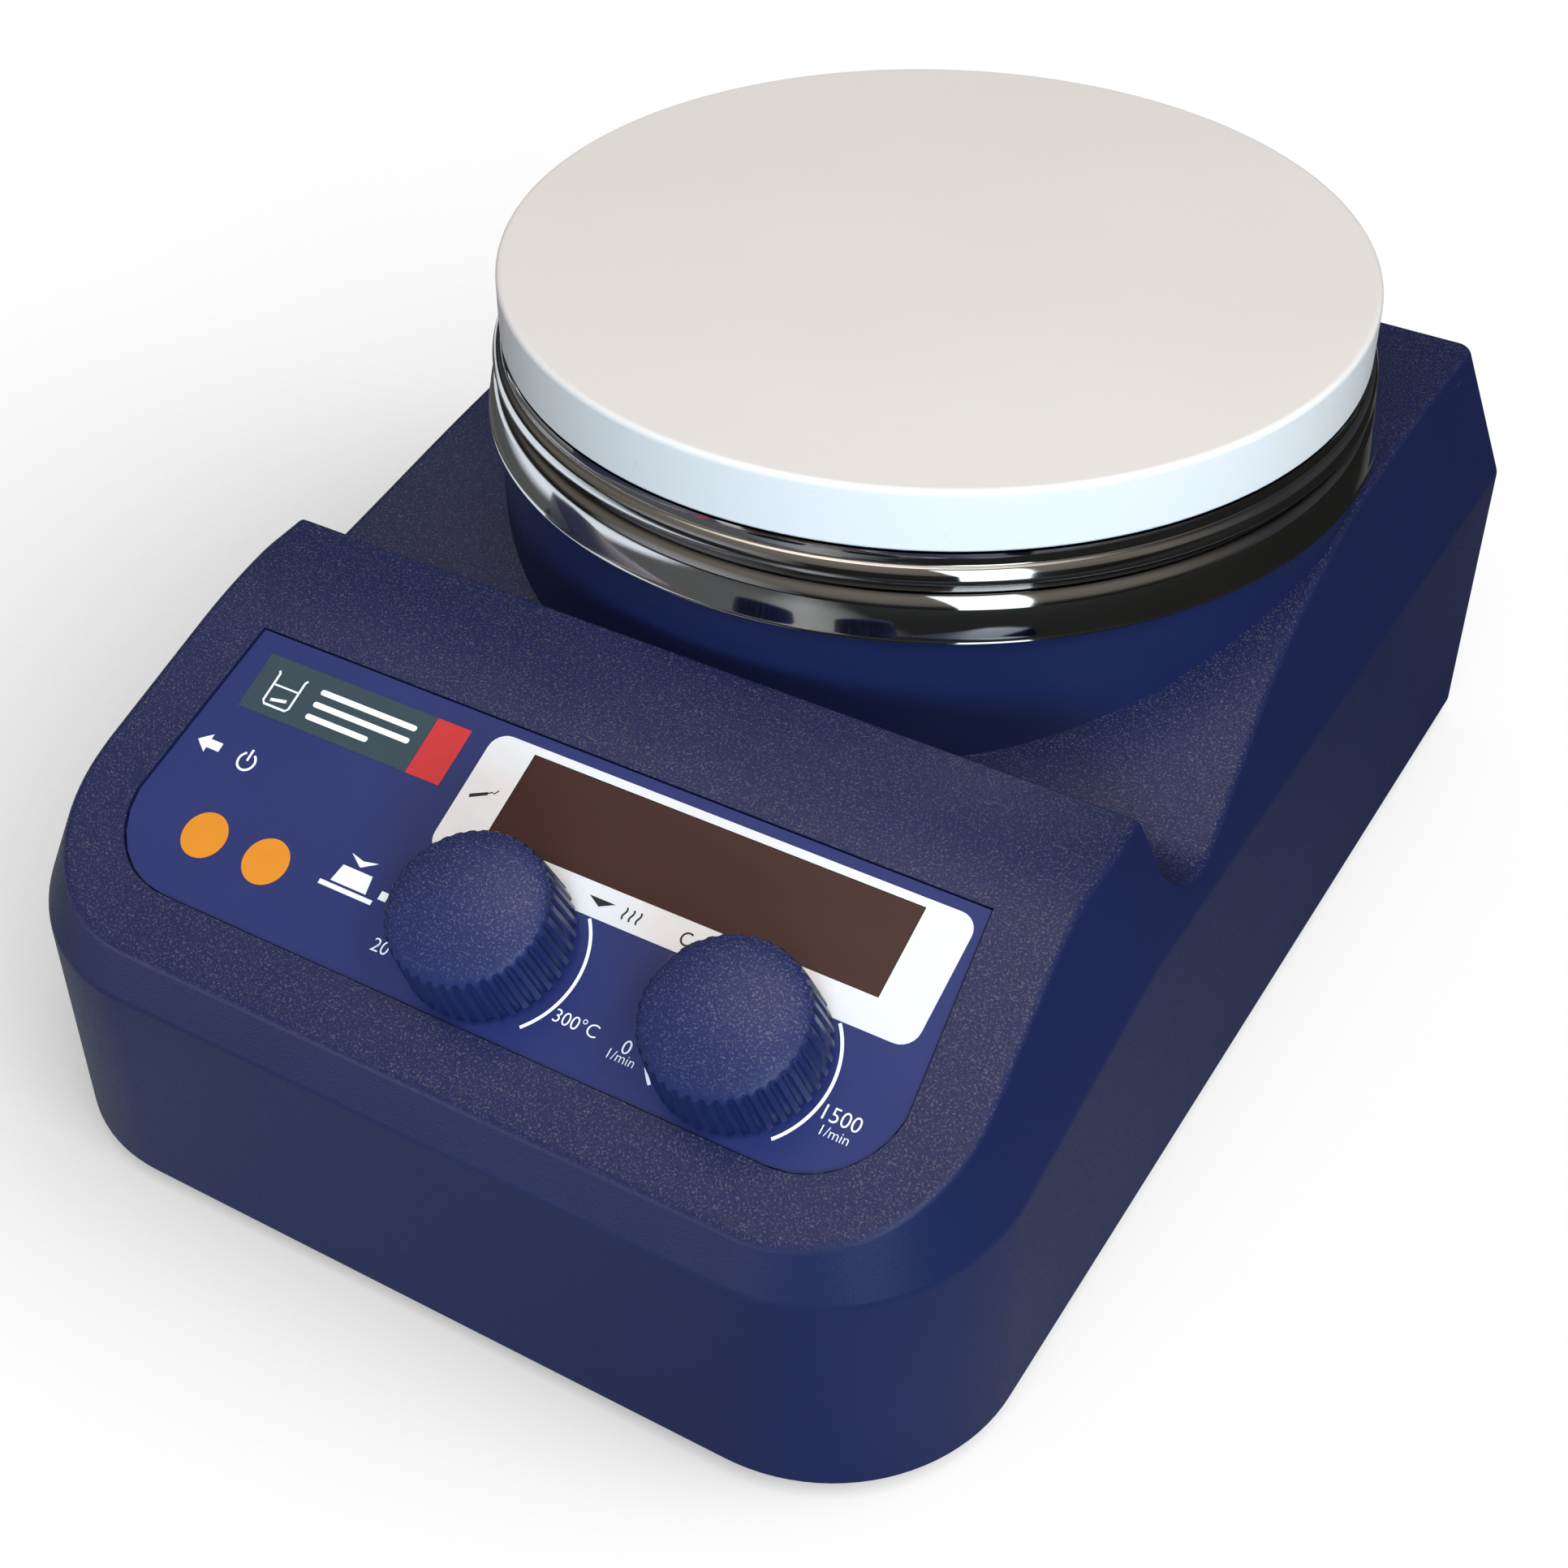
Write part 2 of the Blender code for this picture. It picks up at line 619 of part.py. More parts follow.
def make_motor(steel, copper, magnet, plastic):
    stir = add_empty("stir_axis", (0, AXIS_Y, 0))
    wall, lid = 0.0015, 0.0020
    radius, top, low = MOTOR_RADIUS, MOTOR_TOP, MOTOR_BOTTOM
    seat = BEARING_RADIUS + 0.0003

    plate_low, plate_high = top + GAP, DRUM_TOP - WALL - GAP
    bracket = add_object("motor_bracket", rod(0.040, plate_low, plate_high, steps=40), steel, stir)
    holes = rod(0.0060, plate_low - 0.001, plate_high + 0.001)
    for x, y in around_axis(BRACKET_CIRCLE, STANDOFF_ANGLES):
        add_rod(holes, 0.0016, plate_low - 0.001, plate_high + 0.001, (x, y - AXIS_Y), steps=12)
    cut(bracket, holes, "bracket_hole_cutter", stir)

    inside = radius - wall
    can = [(radius, low), (radius, top), (seat, top), (seat, top - lid), (inside, top - lid), (inside, low)]
    add_object("motor_can", turned(can, 32), steel, stir, smooth=True)
    cap_low = low - GAP - lid
    cap = [(seat, cap_low), (radius, cap_low), (radius, low - GAP), (seat, low - GAP)]
    add_object("motor_end_cap", turned(cap, 32), plastic, stir, smooth=True)
    bore = MOTOR_SHAFT_RADIUS + 0.0003
    for name, base in (("bearing_top", top - lid - 0.0020), ("bearing_bottom", cap_low)):
        ring = [(bore, base), (BEARING_RADIUS, base), (BEARING_RADIUS, base + 0.0040), (bore, base + 0.0040)]
        add_object(name, turned(ring, 24), steel, stir, smooth=True)

    low_end, high_end = low + 0.008, top - 0.008
    core = [(0.0158, low_end), (inside - GAP, low_end), (inside - GAP, high_end), (0.0158, high_end)]
    add_object("stator", turned(core, 28), copper, stir, smooth=True)
    rotor = [(bore, low_end), (0.0150, low_end), (0.0150, high_end), (bore, high_end)]
    add_object("rotor_core", turned(rotor, 24), magnet, stir, smooth=True)
    shaft = rod(MOTOR_SHAFT_RADIUS, cap_low + 0.0003, SHAFT_TOP)
    add_object("motor_shaft", shaft, steel, stir, smooth=True)

    hub_low, bar_low, bar_high = 0.0792, 0.0802, 0.0842
    bar = box((-0.029, -0.0085, bar_low), (0.029, 0.0085, bar_high))
    carrier = add_object("magnet_carrier", bar, plastic, stir)
    join(carrier, rod(0.0070, hub_low, bar_high + 0.0020), "carrier_hub_solid", stir)
    cut(carrier, rod(bore, hub_low - 0.001, SHAFT_TOP + 0.001), "carrier_bore_cutter", stir)
    for number, x in enumerate((-MAGNET_OFFSET, MAGNET_OFFSET), 1):
        disc = rod(MAGNET_RADIUS, bar_high + 0.0003, bar_high + 0.0063, (x, 0))
        add_object(f"drive_magnet_{number}", disc, magnet, stir, smooth=True)
    seat_low = plate_low - GAP
    head, shank = (0.0026, seat_low - 0.0016, seat_low), (0.0012, seat_low, DRUM_TOP - GAP)
    for number, point in enumerate(around_axis(BRACKET_CIRCLE, STANDOFF_ANGLES), 1):
        make_screw(f"bracket_screw_{number}", point, head, shank, steel)


# ---------------------------------------------------------------- console


def make_label(material, panel):
    film = add_object("label_film", prism(label_outline(), *FILM), material, panel)
    openings = prism(rectangle(WINDOW_CENTRE, WINDOW_SIZE), FILM[0] - 0.001, FILM[1] + 0.001)
    for x in KNOB_X.values():
        add_rod(openings, 0.0042, FILM[0] - 0.001, FILM[1] + 0.001, (x, KNOB_Y))
    cut(film, openings, "film_opening_cutter", panel)


def make_display(glass, dark, board, panel):
    """A stepped lens glued behind the panel, with the digits and their board under it."""
    face = prism(rectangle(WINDOW_CENTRE, WINDOW_SIZE, -GAP), -0.0050, -0.0005)
    lens = add_object("display_window", face, glass, panel)
    flange = prism(rectangle(WINDOW_CENTRE, WINDOW_SIZE, 0.0020), -0.0062, -0.0045)
    join(lens, flange, "lens_flange_solid", panel)
    digits = prism(rectangle(WINDOW_CENTRE, (0.056, 0.0130)), -0.0120, -0.0068)
    add_object("display_module", digits, dark, panel)
    add_object("display_board", box((-0.050, -0.0375, -0.0140), (0.053, 0.0010, -0.0124)), board, panel)


def make_knob(name, material, parent):
    """A hollow ribbed cap with a domed top and a hub for the shaft."""
    bm = bmesh.new()
    rows = [
        (KNOB_FLOOR, KNOB_BASE_RADIUS, 1.0),
        (KNOB_SHOULDER - 0.0006, KNOB_TOP_RADIUS, 1.0),
        (KNOB_SHOULDER, KNOB_TOP_RADIUS - 0.0004, 0.7),
        (KNOB_SHOULDER + 0.0006, KNOB_TOP_RADIUS - 0.0015, 0.0),
        (KNOB_SHOULDER + 0.0014, KNOB_TOP_RADIUS * 0.60, 0.0),
        (KNOB_CROWN, KNOB_TOP_RADIUS * 0.22, 0.0),
    ]
    count = KNOB_RIBS * 2
    rings = []
    for height, radius, relief in rows:
        ring = []
        for step in range(count):
            reach = radius - (RIB_DEPTH * relief if step % 2 else 0.0)
            angle = 2 * pi * step / count
            ring.append(bm.verts.new((reach * cos(angle), reach * sin(angle), height)))
        rings.append(ring)
    for low, high in zip(rings, rings[1:]):
        for step in range(count):
            following = (step + 1) % count
            bm.faces.new((low[step], low[following], high[following], high[step]))
    bm.faces.new(rings[-1])
    bm.faces.new(list(reversed(rings[0])))
    knob = add_object(name, bm, material, parent, smooth=True)
    under = KNOB_FLOOR - 0.001
    hollow = [(0.0050, 0.0036), (0.0050, 0.0088), (0.0098, 0.0088), (0.0104, under), (0, under), (0, 0.0036)]
    cut(knob, turned(hollow, 24), f"{name}_hollow_cutter", parent)
    cut(knob, rod(SHAFT_RADIUS + 0.0005, 0.0030, 0.0098, steps=16), f"{name}_bore_cutter", parent)


def make_encoder(side, plastic, steel, panel):
    """An encoder with its nut, the plunger of its push switch, its shaft and the knob on top."""
    fixed = add_empty(f"{side}_encoder_frame", (KNOB_X[side], KNOB_Y, 0), parent=panel)
    case = box((-0.006, -0.006, -0.0120), (0.006, 0.006, -0.0052))
    body = add_object(f"{side}_encoder_body", case, plastic, fixed)
    join(body, rod(0.0035, -0.0060, 0.0024), f"{side}_bush_solid", fixed)
    cut(body, rod(ENCODER_BORE, -0.0094, 0.0040, steps=20), f"{side}_encoder_bore_cutter", fixed)
    nut = add_object(f"{side}_encoder_nut", rod(0.0055, 0.0001, 0.0019, steps=6), steel, fixed)
    cut(nut, rod(0.0038, -0.001, 0.003), f"{side}_nut_bore_cutter", fixed)

    push = add_empty(f"{side}_push_axis", (0, 0, 0), parent=fixed)
    add_object(f"{side}_plunger", rod(0.0028, -0.0084, -0.0055, steps=16), plastic, push, smooth=True)
    turn = add_empty(f"{side}_turn_axis", (0, 0, 0), parent=push)
    shaft = rod(SHAFT_RADIUS, -0.0050, 0.0094, steps=20)
    add_object(f"{side}_encoder_shaft", shaft, steel, turn, smooth=True)
    return turn


# ---------------------------------------------------------------- electrics


def make_boards(board, plastic):
    add_object("control_board", box((-0.045, -0.088, 0.0120), (0.045, -0.036, 0.0136)), board)
    add_object("power_board", box((-0.042, 0.020, 0.0120), (0.012, 0.092, 0.0136)), board)
    supply = box((-0.036, 0.050, 0.0140), (0.000, 0.086, 0.0320))
    bmesh.ops.bevel(supply, geom=supply.edges[:], offset=0.001, segments=1, affect="EDGES")
    add_object("power_supply", supply, plastic)


def make_inlet(dark, plastic):
    """The mains inlet with its fuse drawer, side by side in the rear wall."""
    x, z = INLET_CENTRE
    half_x, half_z = INLET_SIZE[0] / 2, INLET_SIZE[1] / 2
    back, rim = REAR_Y - 0.022, REAR_Y + GAP
    face = rim + 0.0020
    shell = box((x - half_x, back, z - half_z), (x + half_x, REAR_Y + 0.001, z + half_z))
    inlet = add_object("mains_inlet", shell, dark)
    half_x, half_z = half_x + 0.002, half_z + 0.002
    join(inlet, box((x - half_x, rim, z - half_z), (x + half_x, face, z + half_z)), "inlet_flange_solid")
    well = box((x - 0.0215, back + 0.004, z - 0.0085), (x + 0.0025, face + 0.002, z + 0.0085))
    add_box(well, (x + 0.0060, back + 0.002, z - 0.0110), (x + 0.0210, face + 0.002, z + 0.0110))
    cut(inlet, well, "inlet_well_cutter")
    pins = bmesh.new()
    for across, up in ((-0.0165, 0.0015), (-0.0095, -0.0020), (-0.0025, 0.0015)):
        low = (x + across - 0.001, back + 0.002, z + up - 0.002)
        add_box(pins, low, (x + across + 0.001, REAR_Y - 0.001, z + up + 0.002))
    join(inlet, pins, "inlet_pins_solid")

    slide = add_empty("fuse_axis", (x + 0.0135, REAR_Y, z))
    tray = box((-0.0071, -0.0185, -0.0106), (0.0071, 0.0030, 0.0106))
    drawer = add_object("fuse_drawer", tray, plastic, slide)
    cut(drawer, box((-0.0050, -0.0160, -0.0085), (0.0090, -0.0020, 0.0085)), "fuse_slot_cutter", slide)
    lip = box((-0.0040, 0.0010, 0.0085), (0.0040, 0.0045, 0.0105))
    join(drawer, lip, "fuse_lip_solid", slide)


def make_switch(dark):
    """The rocker power switch in the left wall."""
    outer = -HALF_WIDTH
    body = add_object(
        "switch_body",
        box(
            (outer + 0.0014, SWITCH_Y - 0.0115, SWITCH_Z - 0.0080),
            (outer + 0.0026, SWITCH_Y + 0.0115, SWITCH_Z + 0.0080),
        ),
        dark,
    )
    barrel = box(
        (outer + 0.0020, SWITCH_Y - 0.0103, SWITCH_Z - 0.0071),
        (outer + 0.0150, SWITCH_Y + 0.0103, SWITCH_Z + 0.0071),
    )
    join(body, barrel, "switch_barrel_solid")
    well = box(
        (outer - 0.001, SWITCH_Y - 0.0093, SWITCH_Z - 0.0060),
        (outer + 0.0130, SWITCH_Y + 0.0093, SWITCH_Z + 0.0060),
    )
    cut(body, well, "switch_well_cutter")

    pivot = add_empty("rocker_axis", (ROCKER_PIVOT_X, SWITCH_Y, SWITCH_Z), rotation=(0, 0, -ROCKER_TILT))
    face = [(-0.0019, 0.0087), (-0.0007, 0.0), (-0.0019, -0.0087), (0.0040, -0.0055), (0.0040, 0.0055)]
    add_object("switch_rocker", prism(face, -0.0056, 0.0056), dark, pivot)


def make_probe_socket(dark):
    x, z = PROBE_CENTRE
    profile = [
        (0, -0.016),
        (0.0070, -0.016),
        (0.0070, GAP),
        (0.0095, GAP),
        (0.0095, GAP + 0.0012),
        (0.0050, GAP + 0.0012),
        (0.0050, -0.009),
        (0, -0.009),
    ]
    socket = add_object("probe_socket", turned(profile, 28), dark, smooth=True)
    socket.location = (x, REAR_Y, z)
    socket.rotation_euler = (-pi / 2, 0, 0)


def make_cables(rubber):
    x, y = around_axis(STANDOFF_CIRCLE, [150])[0]
    heater = [(x, y, 0.0900), (x, y, 0.0740), (x, y, 0.0600)]
    heater += [(x - 0.001, y - 0.010, 0.0400), (-0.038, 0.036, 0.0170)]
    motor = [(0.010, 0.030, 0.0350), (0.012, 0.000, 0.0270)]
    motor += [(0.014, -0.026, 0.0220), (0.012, -0.042, 0.0165)]
    mains = [(0.0300, 0.0765, 0.0290), (0.0300, 0.0620, 0.0240)]
    mains += [(0.0220, 0.0500, 0.0190), (0.0060, 0.0430, 0.0175)]
    tube("heater_cable", heater, 0.0022, rubber)
    tube("motor_cable", motor, 0.0018, rubber)
    tube("mains_cable", mains, 0.0024, rubber)


def build():
    clear_scene()
    navy = finish("navy_plastic", (0.030, 0.036, 0.085), 0.55)
    film_blue = finish("film_blue", (0.040, 0.055, 0.180), 0.45)
    knob_blue = finish("knob_blue", (0.032, 0.042, 0.130), 0.50)
    ceramic = finish("white_ceramic", (0.80, 0.78, 0.75), 0.35)
    chrome = finish("chrome", (0.80, 0.80, 0.78), 0.08, 1.0)
    steel = finish("zinc_steel", (0.55, 0.56, 0.58), 0.35, 1.0)
    copper = finish("copper_winding", (0.65, 0.32, 0.16), 0.40, 1.0)
    brass = finish("brass", (0.70, 0.55, 0.25), 0.35, 1.0)
    magnet = finish("magnet", (0.25, 0.25, 0.27), 0.40, 0.8)
    rubber = finish("black_rubber", (0.02, 0.02, 0.02), 0.80)
    dark = finish("black_plastic", (0.025, 0.025, 0.028), 0.50)
    grey = finish("grey_plastic", (0.25, 0.26, 0.28), 0.50)
    glass = finish("brown_window", (0.075, 0.035, 0.028), 0.20)
    board = finish("circuit_board", (0.02, 0.16, 0.06), 0.45)
    wool = finish("mineral_wool", (0.62, 0.58, 0.48), 0.95)

    panel = add_empty("panel_frame", (0, *PANEL_START), rotation=(PANEL_ANGLE, 0, 0))
    make_housing(navy, panel)
    make_base(steel)
    make_feet(rubber)
    make_base_screws(steel)
    make_plate(ceramic)
    make_shield(chrome)
    make_heater(steel, wool, brass)
    make_standoffs(steel)
    make_motor(steel, copper, magnet, dark)
    make_label(film_blue, panel)
    make_display(glass, dark, board, panel)
    for side in KNOB_X:
        turn = make_encoder(side, grey, steel, panel)
        make_knob(f"{side}_knob", knob_blue, turn)
    make_boards(board, grey)
    make_inlet(dark, grey)
    make_switch(dark)
    make_probe_socket(dark)
    make_cables(rubber)


build()
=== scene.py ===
"""Looks for the hot-plate magnetic stirrer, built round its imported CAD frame.

Everything is in metres in the frame's own axes: +X right, -Y towards the person at the
console, +Z up. Housing, knobs, plate and shield are rebuilt finer than the CAD solids
and ride on the same bodies. Every other CAD node keeps its shape, but the edges of the
switch and the mains inlet are softened.
"""

import json
from math import atan2, cos, pi, radians, sin

import bmesh
import bpy
from mathutils import Matrix, Vector
from mathutils.geometry import interpolate_bezier


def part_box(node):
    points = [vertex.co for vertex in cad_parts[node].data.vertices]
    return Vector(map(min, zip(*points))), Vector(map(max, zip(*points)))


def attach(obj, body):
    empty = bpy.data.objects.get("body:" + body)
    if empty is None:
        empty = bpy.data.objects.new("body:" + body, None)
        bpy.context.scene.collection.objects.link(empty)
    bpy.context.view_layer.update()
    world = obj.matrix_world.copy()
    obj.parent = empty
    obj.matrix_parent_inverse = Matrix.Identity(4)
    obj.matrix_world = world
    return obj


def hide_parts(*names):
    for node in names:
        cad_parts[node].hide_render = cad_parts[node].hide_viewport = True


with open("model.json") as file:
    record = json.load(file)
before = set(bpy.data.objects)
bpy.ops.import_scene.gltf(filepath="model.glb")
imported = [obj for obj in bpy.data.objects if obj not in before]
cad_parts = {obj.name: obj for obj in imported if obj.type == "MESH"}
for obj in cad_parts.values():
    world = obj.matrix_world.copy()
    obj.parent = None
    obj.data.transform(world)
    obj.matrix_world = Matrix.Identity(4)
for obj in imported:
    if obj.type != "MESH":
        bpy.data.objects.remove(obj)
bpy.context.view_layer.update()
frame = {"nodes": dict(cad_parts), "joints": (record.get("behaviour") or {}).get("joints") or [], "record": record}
NODES = frame["nodes"]
JOINTS = {joint["name"]: joint for joint in frame["joints"]}

# Housing, as in the CAD source
HALF_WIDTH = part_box("housing")[1].x
FRONT_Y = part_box("housing")[0].y
REAR_Y = 0.1014
SHELL_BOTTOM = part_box("housing")[0].z
CORNER_RADIUS = 0.0280
REAR_RADIUS = 0.0026
WALL = 0.003
LEAN = 0.41
CREASE = ((0.2, 0.0522), (-0.0435, 0.0522), (-0.082, 0.0428), (-0.1075, 0.0388))
CREST = (-0.0356, 0.0705)
NOTCH_TOP = (-0.0348, 0.0640)
NOTCH_END = (-0.0220, 0.0566)
DECK_END = (REAR_Y, 0.0733)
PANEL_START = (-0.05935, 0.06607)
PANEL_SLOPE = 0.449
PANEL_ANGLE = atan2(PANEL_SLOPE, 1.0)
SIDE_FILLET = 0.0011
FRONT_FILLET = 0.0008
CREST_FILLET = 0.0007
CREASE_FILLET = 0.0006
FOOT_FILLET = 0.0008
BASE_FLOOR = 0.0062
SOFT_EDGED = ("mains_inlet", "fuse_drawer", "switch_body", "switch_rocker")
BOSS_POINTS = ((-0.060, -0.086), (0.060, -0.086), (-0.066, 0.091), (0.066, 0.091))

# Stir axis, drum, plate and shield
AXIS_Y = JOINTS["stir_spin"]["pos_m"][1]
DRUM_RADIUS = 0.0686
DRUM_TOP = 0.0777
DRUM_UNDERCUT = (0.0400, 0.0580)
PLATE_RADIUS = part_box("hot_plate")[1].x
PLATE_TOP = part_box("hot_plate")[1].z
PLATE_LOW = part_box("hot_plate")[0].z
PLATE_SKIN = 0.0046
PLATE_RIM = 0.0035
SHIELD_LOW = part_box("heat_shield")[0].z
SHIELD_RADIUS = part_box("heat_shield")[1].x
STANDOFFS = ((0.050, 90), (0.050, 210), (0.050, 330))
BRACKET_SCREWS = ((0.034, 90), (0.034, 210), (0.034, 330))
CABLE_HOLE = (0.050, 150)
ROUND_STEPS = 180

# Console, in the panel's own frame
LABEL_TOP = 0.00215
LABEL_BOTTOM = -0.0400
LABEL_HALF_TOP = 0.0595
LABEL_HALF_BOTTOM = 0.0622
LABEL_RADIUS = 0.0135
WINDOW = (-0.0101, -0.01485, 0.0519, -0.00035)
INK = (-0.00038, -0.00033)
DIGIT_SHARE = 0.70
DIGIT_THINNING = 0.00002
DIAL_RADIUS = 0.01275
KNOB_Y = -0.0277
KNOB_X = {side: JOINTS[f"{side}_turn"]["pos_m"][0] for side in ("heat", "stir")}
KNOB_RIBS = 38
RIB_DEPTH = 0.00062
STEPS_PER_RIB = 10
DIAL_X = {"heat": 0.0007, "stir": 0.0388}
MARK_DEPTH = 0.0001
ROCKER_REST = -9

PANEL = Matrix.Translation((0, *PANEL_START)) @ Matrix.Rotation(PANEL_ANGLE, 4, "X")

# Studio: the mirrored room by height, and the far floor's greys from right to left
ROOM = (
    (0.00, (0.015, 0.015, 0.015)),
    (0.10, (0.020, 0.020, 0.020)),
    (0.26, (0.120, 0.110, 0.100)),
    (0.50, (0.160, 0.145, 0.125)),
    (1.00, (0.220, 0.200, 0.175)),
)
FAR_FLOOR = (
    (0.13, 0.02, (0.25, 0.25, 0.25)),
    (0.00, -0.07, (0.09, 0.09, 0.092)),
    (-0.235, -0.275, (0.85, 0.90, 0.98)),
)


# ---------------------------------------------------------------- mesh helpers


def new_object(name, bm, sharp=30.0):
    """A smooth-shaded object from a bmesh, with edges over `sharp` degrees kept crisp."""
    bmesh.ops.recalc_face_normals(bm, faces=bm.faces)
    mesh = bpy.data.meshes.new(name)
    bm.to_mesh(mesh)
    bm.free()
    mesh.shade_smooth()
    mesh.set_sharp_from_angle(angle=radians(sharp))
    made = bpy.data.objects.new(name, mesh)
    bpy.context.scene.collection.objects.link(made)
    return made


def combine(target, bm, operation):
    """Applies a Boolean with the shape in bm."""
    other = new_object("operand", bm)
    modifier = target.modifiers.new(operation, "BOOLEAN")
    modifier.operation = operation
    modifier.object = other
    bake(target)
    welded = bmesh.new()
    welded.from_mesh(target.data)
    bmesh.ops.remove_doubles(welded, verts=welded.verts, dist=2e-6)
    bmesh.ops.dissolve_degenerate(welded, edges=welded.edges, dist=1e-6)
    welded.to_mesh(target.data)
    welded.free()
    bpy.data.objects.remove(other, do_unlink=True)


def bake(target):
    """Applies every modifier of the object."""
    graph = bpy.context.evaluated_depsgraph_get()
    mesh = bpy.data.meshes.new_from_object(target.evaluated_get(graph))
    target.modifiers.clear()
    target.data = mesh


def reshade(target, sharp):
    """Marks sharp edges afresh and weighs the normals, so that flat faces look flat."""
    target.data.shade_smooth()
    target.data.set_sharp_from_angle(angle=radians(sharp))
    weighted = target.modifiers.new("weighted normals", "WEIGHTED_NORMAL")
    weighted.keep_sharp = True


def place(piece, body, material, replaced=()):
    """Gives the piece its material and its CAD body, and hides the CAD nodes it stands for."""
    piece.data.materials.clear()
    piece.data.materials.append(material)
    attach(piece, body)
    if replaced:
        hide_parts(*replaced)
    return piece


def add_box(bm, low, high):
    low, high = Vector(low), Vector(high)
    scale = Matrix.Diagonal((*(high - low), 1.0))
    bmesh.ops.create_cube(bm, size=1.0, matrix=Matrix.Translation((low + high) / 2) @ scale)
    return bm


def add_rod(bm, radius, low, high, centre=(0, 0), along="Z", steps=32):
    """A cylinder along Z or Y between low and high."""
    middle = (high + low) / 2
    matrix = Matrix.Translation((*centre, middle))
    if along == "Y":
        matrix = Matrix.Translation((centre[0], middle, centre[1])) @ Matrix.Rotation(pi / 2, 4, "X")
    bmesh.ops.create_cone(
        bm, cap_ends=True, segments=steps, radius1=radius, radius2=radius, depth=high - low, matrix=matrix
    )
    return bm


def add_ring(bm, radius, height, steps, centre=(0, 0)):
    """Corners of a level circle, or its middle alone when it has no radius."""
    x, y = centre
    if not radius:
        return [bm.verts.new((x, y, height))]
    turns = [2 * pi * step / steps for step in range(steps)]
    return [bm.verts.new((x + radius * cos(turn), y + radius * sin(turn), height)) for turn in turns]


def bridge(bm, low, high):
    """Faces between two rings, or from a ring to a single tip."""
    steps = max(len(low), len(high))
    for step in range(steps):
        after = (step + 1) % steps
        corners = [low[step % len(low)], low[after % len(low)]]
        corners += [high[after % len(high)], high[step % len(high)]]
        bm.faces.new(list(dict.fromkeys(corners)))


def turned(profile, steps=ROUND_STEPS, centre=(0, 0)):
    """Spins (radius, height) points about Z; the profile closes itself unless it ends on the axis."""
    bm = bmesh.new()
    rings = [add_ring(bm, radius, height, steps, centre) for radius, height in profile]
    for low, high in zip(rings, rings[1:]):
        bridge(bm, low, high)
    if len(rings[0]) > 1 and len(rings[-1]) > 1:
        bridge(bm, rings[-1], rings[0])
    return bm


def add_prism(bm, outline, low, high):
    """Extrudes a flat outline from low to high."""
    face = bm.faces.new([bm.verts.new((x, y, low)) for x, y in outline])
    moved = bmesh.ops.extrude_face_region(bm, geom=[face])["geom"]
    points = [item for item in moved if isinstance(item, bmesh.types.BMVert)]
    bmesh.ops.translate(bm, verts=points, vec=(0, 0, high - low))
    return bm


def arc(centre, radius, start, end, steps):
    """Points on a flat arc between two angles in degrees."""
    angles = [radians(start + (end - start) * step / steps) for step in range(steps + 1)]
    return [(centre[0] + radius * cos(angle), centre[1] + radius * sin(angle)) for angle in angles]


def bezier(start, first, second, end, steps):
    """Points on a flat cubic curve, from start up to but not including end."""
    knots = [Vector((*point, 0)) for point in (start, first, second, end)]
    return [(point.x, point.y) for point in interpolate_bezier(*knots, steps + 1)[:-1]]


def rounded(before, corner, after, steps):
    """Points of a fillet that touches before and after and is drawn towards corner."""
    points = []
    for step in range(steps + 1):
        t = step / steps
        points.append(before * (1 - t) ** 2 + corner * 2 * t * (1 - t) + after * t**2)
    return points


def catmull_rom(before, start, end, after, t):
    """The value a share t of the way from start to end, with the values on either side of them."""
    slope = (end - before) * t
    bend = (2 * before - 5 * start + 4 * end - after) * t * t
    twist = (3 * start - before - 3 * end + after) * t**3
    return 0.5 * (2 * start + slope + bend + twist)


def through(points, steps):
    """A smooth curve through flat points."""
    padded = [points[0]] + list(points) + [points[-1]]
    curve = []
    for four in zip(padded, padded[1:], padded[2:], padded[3:]):
        for step in range(steps):
            curve.append(tuple(catmull_rom(*values, step / steps) for values in zip(*four)))
    return curve + [points[-1]]


def polar(spots):
    """Points at (radius, degrees) round the stir axis."""
    found = []
    for radius, angle in spots:
        found.append((radius * cos(radians(angle)), AXIS_Y + radius * sin(radians(angle))))
    return found


# ---------------------------------------------------------------- housing


def crease_height(y):
    """Height of the line where the upright wall meets the leaning one."""
    for (back, high), (front, low) in zip(CREASE, CREASE[1:]):
        if y >= front:
            return low + (high - low) * (y - front) / (back - front)
    return CREASE[-1][1]


def panel_height(y):
    """Height of the console's slope."""
    return PANEL_START[1] + PANEL_SLOPE * (y - PANEL_START[0])


def outer_profile():
    """(y, z) along the top, from just inside the rear corner to the start of the panel."""
    rear = (DECK_END[0] - REAR_RADIUS, DECK_END[1])
    points = bezier(rear, (0.020, 0.0750), (0.010, 0.0661), NOTCH_END, 26)
    points += bezier(NOTCH_END, (-0.0290, 0.0549), (-0.0342, 0.0595), NOTCH_TOP, 14)
    up = Vector(CREST) - Vector(NOTCH_TOP)
    before = Vector(CREST) - up.normalized() * CREST_FILLET
    after = Vector(CREST) + Vector((-CREST_FILLET, -0.00008))
    points += [NOTCH_TOP] + [tuple(point) for point in rounded(before, Vector(CREST), after, 5)]
    points += bezier(tuple(after), (-0.0420, 0.0700), (-0.0505, 0.07004), PANEL_START, 12)[1:]
    return points + [PANEL_START]


